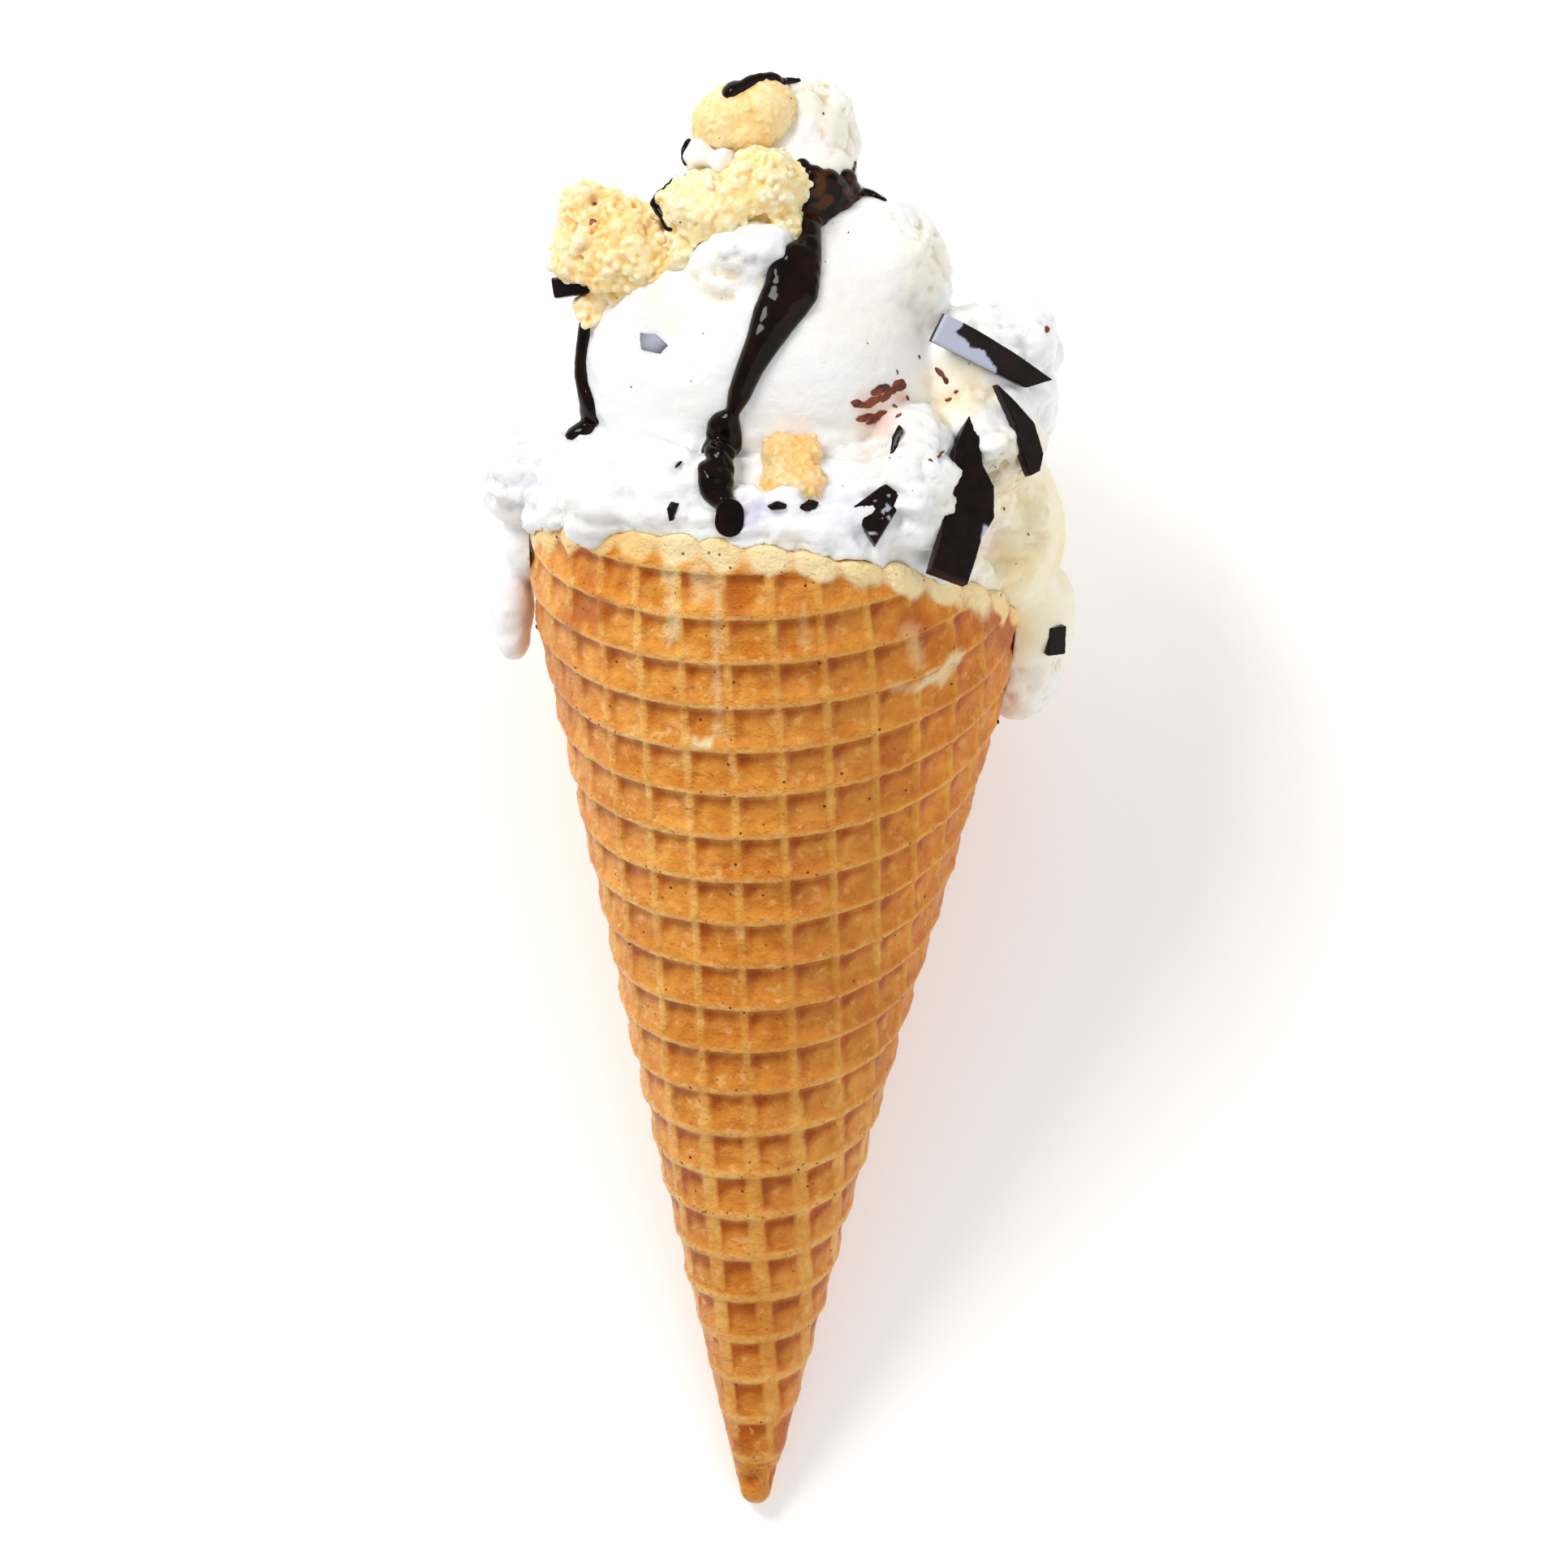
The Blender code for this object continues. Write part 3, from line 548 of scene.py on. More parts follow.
# %% Stains and toast as values
def near_path(places, path):
    """Distance in mm, seen from above, of each place to a path of (x, y) points."""
    best = np.full(len(places), 1e9)
    flat = places[:, :2]
    for start, end in zip(path, path[1:]):
        start, end = np.array(start), np.array(end)
        along = np.clip(((flat - start) @ (end - start)) / ((end - start) @ (end - start)), 0.0, 1.0)
        gap = flat - start - along[:, None] * (end - start)
        best = np.minimum(best, np.hypot(gap[:, 0], gap[:, 1]))
    return best


# Each stain: path seen from above, half width in mm and strength
STAINS = (
    (((23.9, 17), (21.4, 14.6), (18.6, 12.9)), 0.55, 0.75),
    (((18.6, 12.9), (15.4, 12.7)), 0.7, 0.35),
    (((17.2, 20.4), (18, 16.4)), 0.8, 0.28),
    (((21.2, 26.6), (25.4, 25.6), (27, 24)), 1.7, 0.60),
    (((-11.6, 5.6), (-10.3, 5.2), (-9.2, 5.5)), 0.50, 1),
    (((-14.4, 31), (-14.3, 20)), 0.55, 0.55),
    (((-11, 29.6), (-10.6, 25)), 1.2, 0.45),
    (((-8.2, 28.6), (-8.3, 7)), 0.50, 0.42),
    (((3, 24), (3.4, 18.6)), 0.5, 0.20),
)
# Each toasted patch: path, reach in mm and strength. The last four are pits in the tip
TOASTED = (
    (((28.6, 24.4), (31, 20)), 2.6, 1),
    (((-38, 26), (-30, 14)), 4, 0.3),
    (((-6, 24.6), (-5.2, 26)), 2.2, 0.7),
    (((17.5, 22.8), (19.6, 21.6)), 1.8, 0.8),
    (((-27, 22), (-24, 23)), 2, 0.8),
    (((-4.3, -96.8), (-3.8, -96.5)), 0.9, 1),
    (((-0.7, -97), (-0.5, -95.8)), 0.8, 1),
    (((-5.6, -91), (-4.4, -90.8)), 1, 0.8),
    (((-0.4, -92), (1, -88.1)), 1, 0.9),
)
STAIN_SPREAD, TOAST_SPREAD = 1.5, 1.4  # how far past its reach a patch fades out
# Painted shade on the sheet's inner side
INNER_PAINTED_SHADE = 0.35                     # shade of the sheet's inner side


def patches_at(places, patches, ragged, spread):
    """How strongly each place on the shown side lies in one of the patches."""
    total = np.zeros(len(places))
    for path, reach, strength in patches:
        near = near_path(places, path) + ragged
        total = np.maximum(total, strength * smoothstep(spread - near / reach))
    axis_height = (places[:, 1] - APEX.y) * tan(HALF_ANGLE)
    return total * (places[:, 2] > axis_height)


ragged = 0.55 * noise_field(rolled, 1.5, 21, 2) + 0.8 * noise_field(rolled, 4.0, 27)
pale_rim = smoothstep(1.25 - to_rim / (1.1 * bead) + 0.35 * noise_field(flat_places, 3.0, 23))
near_tip = 0.12 * smoothstep((75.0 - slants) / 40.0)
toasted = patches_at(rolled, TOASTED, 1.6 * ragged, TOAST_SPREAD)
for name, values in {
    "crest": crest * upper,
    "upright": upright * upper,
    # painted shade in the pockets, and an even painted shade on the inner side
    "painted_shade": np.where(upper > 0.0, painted_shade, INNER_PAINTED_SHADE),
    "rim": pale_rim * (0.52 + 0.48 * tongue),
    "melt": patches_at(rolled, STAINS, ragged, STAIN_SPREAD),
    "toasted": np.maximum(near_tip, toasted),
}.items():
    store_value(wafer.data, name, values)


# %% [markdown]
# The tip is a small solid cone with a rounded end, where the rolled layers press together. It
# starts as a profile that is spun about the axis, is laid down as the sheet was, and is joined
# to it by a Boolean union.

# %% The tip
def turned(name, profile, steps):
    bm = bmesh.new()
    verts = [bm.verts.new((radius, 0.0, along)) for radius, along in profile]
    edges = [bm.edges.new(pair) for pair in zip(verts, verts[1:])]
    bmesh.ops.spin(bm, geom=verts + edges, cent=(0.0, 0.0, 0.0), axis=(0.0, 0.0, 1.0),
                   angle=2.0 * pi, steps=steps, use_merge=True, use_duplicate=False)
    bmesh.ops.remove_doubles(bm, verts=bm.verts, dist=0.001)
    for vert in bm.verts:
        vert.co = lay_down(vert.co.x, vert.co.y, vert.co.z)
    bmesh.ops.recalc_face_normals(bm, faces=bm.faces)
    return add_object(name, mesh_of(bm, name))


def wafer_tip(rounds, rings, steps):
    centre = TIP_RADIUS / sin(HALF_ANGLE)
    profile = [(0.0, centre - TIP_RADIUS)]
    for i in range(1, rounds + 1):
        bend = (pi / 2.0 - HALF_ANGLE) * i / rounds
        profile.append((TIP_RADIUS * sin(bend), centre - TIP_RADIUS * cos(bend)))
    for i in range(1, rings + 1):
        along = centre + (TIP_TOP - centre) * i / rings
        profile.append((along * tan(HALF_ANGLE) - 0.5 * WALL * min(1.0, i / rings), along))
    profile.append((0.0, TIP_TOP))
    return turned("tip", profile, steps)


PIT_DEPTH = 0.6
tip = wafer_tip(16, 60, 72)
tip_places = coordinates(tip.data)
pits = patches_at(tip_places, TOASTED, 0.0, TOAST_SPREAD)
push_along_normals(tip.data, 0.12 * noise_field(tip_places, 1.4, 31, 2) - PIT_DEPTH * pits)
# Even values for the tip, with a little painted shade
levels = {"crest": 0.1, "upright": 0.3, "painted_shade": 0.3, "rim": 0.0, "melt": 0.0}
for name, level in levels.items():
    store_value(tip.data, name, np.full(len(tip_places), level))
store_value(tip.data, "toasted", np.maximum(pits, 0.25))
combine(wafer, tip, "UNION")

# %% [markdown]
# Baked batter is pale where it is thick and browns where the plates pressed it thin. So the ribs
# are straw yellow and the pockets caramel, with fine grains, dark pinholes where steam came out,
# and broad patches that are more or less toasted. The rim is palest. Painted shade darkens each
# pocket below its rib and beside its upright rib, and makes the right side, away from the key
# light, darker and more orange; painted sugar glints light the open floors.

# %% Wafer finish
crust = Finish("wafer_crust", Roughness=0.38, Specular_IOR_Level=0.12, Coat_Weight=0.24,
               Coat_Roughness=0.12, Subsurface_Weight=0.15, Subsurface_Scale=0.0012,
               Subsurface_Radius=(1.0, 0.45, 0.15))
grain = crust.noise(1100.0, 4.0, 0.7)
streaks = crust.noise(330.0, 3.0, 0.6)
patches = crust.noise(60.0, 2.0)
floor_tone = crust.ramp(streaks, (0.3, (222, 138, 48)), (0.7, (250, 180, 94)))
# Painted shade: the dark tone of the pockets' shaded parts
painted_shade_tone = crust.ramp(streaks, (0.3, (172, 82, 6)), (0.7, (204, 110, 18)))
upright_tone = crust.ramp(streaks, (0.3, (244, 170, 84)), (0.7, (255, 212, 138)))
crest_tone = crust.ramp(grain, (0.35, (250, 174, 92)), (0.65, (255, 222, 156)))
baked = crust.mix(crust.between(crust.stored("painted_shade"), 0.2, 0.95), floor_tone, painted_shade_tone)
faint = crust.ramp(crust.noise(120.0, 2.0), (0.38, grey(0.45)), (0.62, grey(0.95)))
on_upright = crust.times(crust.between(crust.stored("upright"), 0.0, 0.8), faint)
baked = crust.mix(on_upright, baked, upright_tone)
baked = crust.mix(crust.between(crust.stored("crest"), 0.35, 1.0), baked, crest_tone)
toast = crust.ramp(patches, (0.36, (0.88, 0.77, 0.50, 1.0)), (0.62, (1.0, 0.99, 0.84, 1.0)))
baked = crust.times(baked, toast)

# Painted highlights: sugar glints on the lit, open part of the floors
painted_glint = crust.between(crust.noise(520.0, 3.0, 0.6), 0.56, 0.68)
lit_floor = crust.between(crust.stored("painted_shade"), 0.62, 0.30)
painted_glint = crust.times(crust.times(painted_glint, lit_floor), grey(0.5))
baked = crust.mix(painted_glint, baked, (255, 208, 146))

# Painted shade: the right side, which the key light doesn't reach, is darker and more orange
painted_side_shade = crust.ramp(crust.between(crust.across(), -0.030, 0.030),
                    (0.0, (1.0, 0.95, 0.78, 1.0)), (0.1, (1.0, 1.0, 0.95, 1.0)),
                    (0.5, (0.90, 0.82, 0.62, 1.0)), (0.78, (0.84, 0.73, 0.42, 1.0)),
                    (1.0, (0.88, 0.67, 0.18, 1.0)))
baked = crust.times(baked, painted_side_shade)
baked = crust.mix(crust.stored("toasted"), baked, (192, 98, 14))
rim_tone = crust.ramp(patches, (0.42, (254, 212, 140)), (0.6, (255, 230, 176)))
baked = crust.mix(crust.between(crust.stored("rim"), 0.25, 0.8), baked, rim_tone)

# Pinholes anywhere, and finer ones along the crests
pin = crust.between(crust.cells(560.0), 0.17, 0.08)
pin = crust.times(pin, crust.between(crust.noise(300.0, 1.0), 0.48, 0.62))
baked = crust.mix(pin, baked, (104, 46, 8))
rib_pin = crust.between(crust.cells(950.0), 0.24, 0.14)
rib_pin = crust.times(rib_pin, crust.between(crust.noise(420.0, 1.0), 0.50, 0.60))
rib_pin = crust.times(rib_pin, crust.between(crust.stored("crest"), 0.2, 0.8))
baked = crust.mix(rib_pin, baked, (122, 54, 8))
stained = crust.mix(crust.stored("melt"), baked, (252, 230, 178))
crust.feed(crust.shader, Base_Color=stained)
crust.bump((grain, 0.26), (crust.noise(620.0, 3.0, 0.65), 0.50), (streaks, 0.80))
print("wafer finish", len(crust.nodes), "nodes")

# %% [markdown]
# ## The ice cream
# The heap is made of balls that stand for what the scoop dropped: the big scoop, shoulders,
# ruffles round its foot, lobes over the rim, a creamier mass at the right and a drip at the left.
# A row of small lumps frills its edge behind the rim. A voxel remesh melts them into one skin.
# After some smoothing, pushes along the normals roughen the skin: rounded curds where the ice
# cream tore, ledges where its foot was pushed down, and hardly anything where the scoop slid.

# %% Balls for the heap
LUMPS = {
    "scoop": ((-1.5, 57.9, 41), (25.6, 23.5, 25.5), 0.02),
    "shoulder_right": ((11.6, 68.4, 46), (11.4, 12, 15), 0.05),
    "shoulder_left": ((-16.4, 59.8, 43), (10, 14, 14), 0.05),
    "top_ball": ((1.6, 86.4, 47), (9.3, 9.7, 9.4), 0.08),
    "neck": ((2.6, 79.6, 50), (8, 8, 9), 0.10),
    "lobe_left": ((-33.6, 41.6, 38), (6.8, 6.6, 9), 0.20),
    "lobe_left_upper": ((-29.7, 43.6, 41), (5, 4.4, 7), 0.20),
    "lobe_left_tip": ((-37.3, 45.6, 38), (2.2, 2.8, 4), 0.12),
    "ruffle_front_left": ((-21.7, 37.5, 57), (8, 6.5, 9), 0.14),
    "ruffle_front_mid": ((-13, 38.5, 62), (8, 7, 7), 0.14),
    "ruffle_front_low": ((-0.1, 35, 62), (9, 5.5, 8), 0.14),
    "lobe_front_right": ((17.7, 39.6, 57), (6.8, 11, 11), 0.14),
    "lobe_right": ((27.3, 46.4, 49), (8.5, 8, 10), 0.14),
    "ruffle_right": ((30.7, 59.3, 43), (7.2, 5.8, 9), 0.20),
    "ruffle_right_low": ((32.8, 51.6, 42), (4.8, 7, 8), 0.12),
    "link_right": ((25, 55.8, 45), (9, 9, 12), 0.14),
    "mass_upper": ((30.4, 34.6, 34), (8.2, 12, 16), 0.06),
    "mass_middle": ((32.4, 23.5, 24), (7.8, 9.4, 11), 0.06),
    "mass_lower": ((32.6, 14.8, 22), (5.4, 5.6, 8), 0.12),
    "drip_root": ((-33.8, 33.5, 32), (4, 5.5, 7), 0.10),
    "drip": ((-36.4, 25.6, 29), (3, 8, 5), 0.10),
    "drip_end": ((-36.4, 19.9, 29), (2.3, 3, 3.5), 0.06),
    "underside": ((-1, 36, 13), (25, 14, 16.5), 0.05),
    "underside_upper": ((0, 54, 22), (20, 15, 18), 0.05),
    "dollop_top": ((-10.6, 83.4, 56.2), (2.4, 2.6, 4), 0.25),
    "dollop_top_right": ((-8, 82.6, 56.2), (2.6, 2.2, 3.9), 0.25),
    "dollop_middle": ((-5.6, 70.6, 61.6), (5.4, 3.8, 5.2), 0.30),
    "dollop_middle_left": ((-9.6, 69.2, 60.6), (2.6, 2.2, 3.8), 0.30),
    "dollop_middle_right": ((-1.2, 71.4, 62), (3.4, 3.2, 4.6), 0.30),
    "dollop_middle_low": ((-6.2, 66.8, 61), (4.2, 2.7, 4.6), 0.30),
    "dollop_beside": ((-3.5, 35.6, 67.6), (1.7, 4.4, 2.2), 0.10),
}
SKIRT_ALONG, SKIRT_RADII = 152.0, (34.6, 13.0, 33.6)
PLUG_FROM, PLUG_TO, PLUG_INSIDE = 118.0, 146.0, 4.5
FRILLS, FRILL_REACH, FRILL_SIZE = 21, radians(80.0), 3.4
FRILL_PAST, FRILL_INSIDE = 2.6, 5.6        # where the frills lie, past the rim and inside it
VOXEL = 0.6


def lump_into(bm, place, radii, rough, level=5, turn=None):
    """Add an uneven ball to a bmesh."""
    made = bmesh.ops.create_icosphere(bm, subdivisions=level, radius=1.0)["verts"]
    centre = Vector(place)
    spread = sum(radii) / 3.0
    for vert in made:
        point = Vector([along * radius for along, radius in zip(vert.co, radii)]) + centre
        swell = noise.noise(point / (0.55 * spread + 1.5))
        swell += 0.5 * noise.noise(point / (0.25 * spread + 0.8))
        vert.co = centre + (point - centre) * (1.0 + rough * swell)
    if turn is not None:
        bmesh.ops.transform(bm, matrix=turn, verts=made)


heap = bmesh.new()
for place, radii, rough in LUMPS.values():
    lump_into(heap, place, radii, rough)
tilt = Matrix.Translation(lay_down(0.0, 0.0, SKIRT_ALONG)) @ Matrix.Rotation(HALF_ANGLE, 4, "X")
lump_into(heap, (0.0, 0.0, 0.0), SKIRT_RADII, 0.04, 5, tilt)
plug_profile = [(0.0, PLUG_FROM)]
for along in np.linspace(PLUG_FROM, PLUG_TO, 6):
    plug_profile.append((float(along) * tan(HALF_ANGLE) - PLUG_INSIDE, float(along)))
plug_profile.append((0.0, PLUG_TO))
plug = turned("plug", plug_profile, 48)
heap.from_mesh(plug.data)
drop(plug)
for i in range(FRILLS):
    around = FRILL_REACH * (2.0 * i / (FRILLS - 1) - 1.0)
    uneven = noise.noise(Vector((3.1 * i, 0.0, 7.0)))
    along = rim_even(around) * cos(HALF_ANGLE) + FRILL_PAST + 1.2 * uneven
    out = rim_even(around) * sin(HALF_ANGLE) - FRILL_INSIDE + 0.6 * uneven
    size = FRILL_SIZE + 1.2 * uneven
    place = lay_down(out * sin(around), out * cos(around), along)
    lump_into(heap, place, (1.15 * size, 0.9 * size, size), 0.22, 4)
ice = melted("ice_cream_heap", heap, VOXEL, 6)
print("ice cream skin", len(ice.data.vertices), "points")

# %% Rough and smooth areas
# Torn spots: place, reach in mm, strength
TORN_SPOTS = (
    ((22, 66, 52), 8, 0.9),
    ((18, 72, 54), 7, 0.9),
    ((31, 57, 46), 12, 1),
    ((-34, 43, 42), 11, 1.1),
    ((-20, 37, 60), 9, 0.4),
    ((20, 42, 62), 10, 0.5),
    ((3, 33.5, 66), 7, 0.5),
    ((34, 14, 24), 8, 0.7),
    ((6, 90, 52), 9, 0.8),
    ((-5, 70, 66), 8, 0.9),
    ((-10, 83, 60), 6, 0.9),
    ((28, 46, 55), 9, 0.8),
    ((-27, 50, 50), 7, 0.5),
)
# The foot of the scoop, where it was pushed down, seen from above
FOLD_LINE = ((-24.0, 45.6), (-21.5, 42.6), (-14.4, 40.4), (-10.6, 44.0))


def lumpy(places, size, seed):
    """Rounded curds with creases between them, from the distance to scattered points."""
    offset = Vector((seed * 3.3, seed * 1.7, seed * 2.9))
    near = [noise.voronoi(Vector(place) / size + offset)[0][0] for place in places]
    return 0.55 - np.array(near)


def torn_at(places):
    """How torn the skin is at each place. The hidden underside is a little torn as well."""
    torn = 0.3 * smoothstep((32.0 - places[:, 2]) / 10.0)
    for centre, reach, strength in TORN_SPOTS:
        distance = np.linalg.norm(places - np.array(centre), axis=1)
        torn = np.maximum(torn, strength * smoothstep(1.35 - distance / reach))
    return torn


def stretched_noise(places, across, up, size, seed):
    return noise_field(places * np.array([across, up, 1.0]), size, seed, 2)


def roughen(mesh):
    places = coordinates(mesh)
    torn = torn_at(places)
    broken = smoothstep(0.5 + 0.9 * noise_field(places, 5.0, 45))
    coarse = noise_field(places, 4.2, 41)
    fine = noise_field(places, 1.5, 43, 2)
    curds = lumpy(places, 2.3, 5)
    amount = torn * (coarse + (0.3 + 0.7 * broken) * (0.60 * fine + 1.7 * curds))

    # The scoop drags long shallow lines over the smooth part
    dragged = stretched_noise(places, 0.45, 1.6, 2.2, 49) + noise_field(places, 7.0, 53)
    amount += (1.0 - np.minimum(torn, 1.0)) * 0.14 * dragged

    # Its foot tears in layers, whose edges are the steps of a terraced noise
    layers = stretched_noise(places, 0.4, 1.5, 4.0, 59)
    terraces = 2.6 * layers + 0.5 * fine
    ledges = np.floor(terraces) + smoothstep(2.5 * (terraces - np.floor(terraces)))
    foot = smoothstep((49.0 - places[:, 1]) / 5.0) * smoothstep((places[:, 2] - 40.0) / 8.0)
    amount += foot * (0.45 * layers + 0.34 * ledges + broken * (0.25 * curds + 0.12 * fine))

    # A fold runs round the foot at the left
    facing = smoothstep((places[:, 2] - 40.0) / 10.0)
    fold = near_path(places, FOLD_LINE) + 0.5 * fine
    amount -= 0.9 * smoothstep(1.3 - fold / 1.1) * facing
    push_along_normals(mesh, amount)
    # How strongly painted shade darkens the hollows: more where the skin is torn
    store_value(mesh, "hollow_shade_strength", np.clip(0.25 + torn, 0.0, 1.0))


roughen(ice.data)

# %% Creamy and tinted areas
# Creamier spots seen from above: x, y, reach and strength
CREAMY_SPOTS = (
    (34, 34, 11, 1), (35, 24, 9, 0.9), (33, 12, 5, 0.35), (33, 44, 5, 0.6),
    (24, 53, 5, 0.60), (9, 88, 5.5, 0.30), (5, 92, 3.5, 0.45), (8, 82, 4, 0.35),
    (14, 66, 11, 0.22), (19, 70, 6, 0.30), (-14, 63, 5, 0.35), (-8, 66.5, 4, 0.30),
    (-1.5, 65, 3, 0.4), (13, 47, 6, 0.2),
)
# Bluish and lavender spots, where melted milk lies on the heap
COOL_SPOTS = (
    (-3.5, 36, 2.6, 0.8), (14, 45.5, 3, 0.3), (-17.1, 59.9, 3.4, 0.35), (-20, 50, 6, 0.2),
    (28, 33, 3, 0.3), (-31, 46, 5, 0.25), (-37, 24, 6, 0.18), (10, 36, 4, 0.3),
)

# Peach spots, where thin flakes of chocolate stain the skin
PEACH_SPOTS = ((16.0, 51.5, 1.3, 0.85), (12.8, 48.6, 2.6, 0.6), (11.5, 50.6, 2.0, 0.5))


def store_spots(mesh, name, spots, ragged):
    places = coordinates(mesh)
    total = np.zeros(len(places))
    for x, y, reach, strength in spots:
        near = (away_from(places, x, y) + ragged) / reach
        total = np.maximum(total, strength * smoothstep(1.4 - near))
    store_value(mesh, name, total)


ragged_skin = 1.6 * noise_field(coordinates(ice.data), 4.0, 57, 2)
store_spots(ice.data, "creamy", CREAMY_SPOTS, ragged_skin)
store_spots(ice.data, "cool", COOL_SPOTS, ragged_skin)
store_spots(ice.data, "peach", PEACH_SPOTS, 0.2 * ragged_skin)
store_raised(ice, 12)

# %% [markdown]
# The wafer's wall must stay free of ice cream, and the heap is flat where it rests. Both cuts are
# Booleans: one with a plain rolled slab a touch thicker than the wafer, one with a block below
# the floor.

# %% Clear the wall and the floor
CLEAR = 0.04
BLOCK_SIZE = Vector((400.0, 400.0, 100.0))
room = flat_sheet("room", -WALL - CLEAR, CLEAR, 3, sheet_outline(CLEAR))
set_coordinates(room.data, np.array([roll(vert.co) for vert in room.data.vertices]))
combine(ice, room, "DIFFERENCE")
block = bmesh.new()
bmesh.ops.create_cube(block, size=1.0)
bmesh.ops.scale(block, vec=BLOCK_SIZE, verts=block.verts)
bmesh.ops.translate(block, vec=(0.0, 0.0, -0.5 * BLOCK_SIZE.z), verts=block.verts)
combine(ice, add_object("floor_block", mesh_of(block, "floor_block")), "DIFFERENCE")

# %% [markdown]
# Ice cream scatters light below its surface, so its shadows are soft and a little warm. The
# front is almost white, while the mass at the right is the colour of custard. The stored spots
# mix the tones, and painted shade darkens the hollows between the curds: cool grey in the white
# parts, ochre in the creamy ones.

# %% Ice cream finish
cream = Finish("ice_cream_white", Roughness=0.34, Specular_IOR_Level=0.4, Subsurface_Weight=0.40,
               Subsurface_Radius=(1.0, 0.88, 0.70), Subsurface_Scale=0.0020)
clouds = cream.noise(90.0, 3.0)
creamy = cream.stored("creamy")
white = cream.ramp(clouds, (0.35, (249, 249, 247)), (0.65, (252, 253, 254)))
custard = cream.ramp(clouds, (0.38, (252, 228, 176)), (0.62, (254, 242, 212)))
base = cream.mix(creamy, white, custard)
base = cream.mix(cream.stored("cool"), base, (220, 214, 234))
base = cream.mix(cream.stored("peach"), base, (240, 202, 180))
# Painted shade in the hollows between the curds: cool grey in white parts, ochre in creamy ones
hollow_shade = cream.times(cream.between(cream.stored("raised"), 0.02, -0.16), cream.stored("hollow_shade_strength"))
ochre = cream.between(creamy, 0.0, 0.35)
hollow_shade_tone = cream.mix(ochre, (0.88, 0.90, 0.94, 1.0), (0.84, 0.74, 0.58, 1.0))
base = cream.mix(hollow_shade, base, cream.times(base, hollow_shade_tone))
cream.feed(cream.shader, Base_Color=base)
cream.bump((cream.noise(1500.0, 3.0, 0.6), 0.06), (cream.noise(520.0, 3.0, 0.6), 0.28))
print("ice cream finish", len(cream.nodes), "nodes")


# %% [markdown]
# ## Sauce
# Chocolate sauce flows slowly, so its edges are round and it piles up where it slows down. A run
# is made of flattened balls, close together along a path, each laid on the surface below it.
# The same remesh that melted the heap turns them into one glossy drip. The paths are given as
# the camera sees them, in the plane of the cone's axis: across, up and half width in mm.

# %% Paths of the sauce
EYE = Vector((0.55, 0.17, 1235.0))
AXIS_HEIGHT = 35.0
SAUCE_MAIN = (
    (3.9, 75.8, 1.8), (4, 73.2, 1.7), (2.9, 71.3, 2.9), (2, 69.6, 3.7), (1.5, 67, 3.8),
    (-0.6, 63.5, 3.2), (-2.3, 60, 2.4), (-4.1, 56.5, 1.9), (-5.5, 53, 1.65), (-6.5, 50.3, 0.9),
    (-7.6, 48.6, 2.4), (-7.6, 46.4, 2.7), (-8.3, 43.8, 2), (-8.7, 42, 2.8), (-8.8, 40, 2.5),
    (-7.6, 38.6, 1.4), (-6.7, 36.8, 2), (-6.9, 35.3, 2.1),
)
SAUCE_POOL = (
    (6.6, 81.6, 2.1), (4.3, 80.2, 2.3), (7.2, 80.2, 2.6), (9.6, 80.3, 2.1), (4.2, 78.3, 2.3),
    (6.4, 78.5, 2.2), (3.8, 76.6, 2), (4.9, 77, 1.8), (4.6, 82.6, 1.6), (3, 84, 1.1),
    (9, 81.9, 1.8), (5.6, 79.4, 2.4), (8.4, 79.4, 2), (2.4, 78.4, 1.6),
)
SAUCE_TAIL = ((9.5, 80.6, 1.3), (10.9, 80.3, 0.9), (12.5, 80.0, 0.7), (14.4, 79.2, 0.45))
SAUCE_RIDGE = ((10.3, 84.8, 0.3), (10.0, 83.6, 0.5), (9.7, 82.5, 0.5), (9.4, 81.4, 0.9))
SAUCE_LEFT = (
    (-25.4, 63.4, 1.2, 48), (-26, 60.6, 1.3, 48), (-26.5, 57.4, 1.2, 47),
    (-26.3, 53.8, 1.4, 47), (-25.9, 51.4, 2.2, 47), (-26.6, 49.4, 1.8, 46),
    (-27.4, 47.5, 1.5, 45), (-28, 45.2, 0.9, 44),
)
SAUCE_LEFT_BRANCH = ((-25.9, 51.6, 1.1, 47.0), (-25.0, 50.4, 0.8, 47.0), (-24.6, 49.4, 0.7, 47.0))
SAUCE_TOP = (
    (2.4, 96.5, 0.5, 53), (0.2, 96.4, 0.85, 55), (-3, 96, 0.9, 57), (-5, 95.1, 1.1, 57.5),
    (-6.6, 94.2, 1.6, 57.5),
)
SAUCE_THREAD = (
    (-12.4, 87.1, 0.75, 56), (-13, 86, 0.55, 56), (-13.4, 83.1, 0.32, 58),
    (-14.6, 81.8, 0.4, 59), (-17.6, 80.2, 0.55, 58), (-17, 78.6, 0.65, 59),
    (-15.4, 76.9, 0.9, 60), (-14.4, 75.4, 0.6, 60),
)


# %% Lay the runs on the surface
def seen_at(x, y, height):
    """The point at a height that the camera sees at x, y in the plane of the cone's axis."""
    reach = (EYE.z - height) / (EYE.z - AXIS_HEIGHT)
    return EYE + (Vector((x, y, AXIS_HEIGHT)) - EYE) * reach


def surface_of(*things):
    bm = bmesh.new()
    for thing in things:
        bm.from_mesh(thing.data)
    tree = BVHTree.FromBMesh(bm)
    bm.free()
    return tree


def on_surface(tree, x, y):
    place, normal, _, _ = tree.ray_cast(EYE, (Vector((x, y, AXIS_HEIGHT)) - EYE).normalized())
    if place is None:
        place, normal, _, _ = tree.find_nearest(seen_at(x, y, AXIS_HEIGHT))
    return place, normal


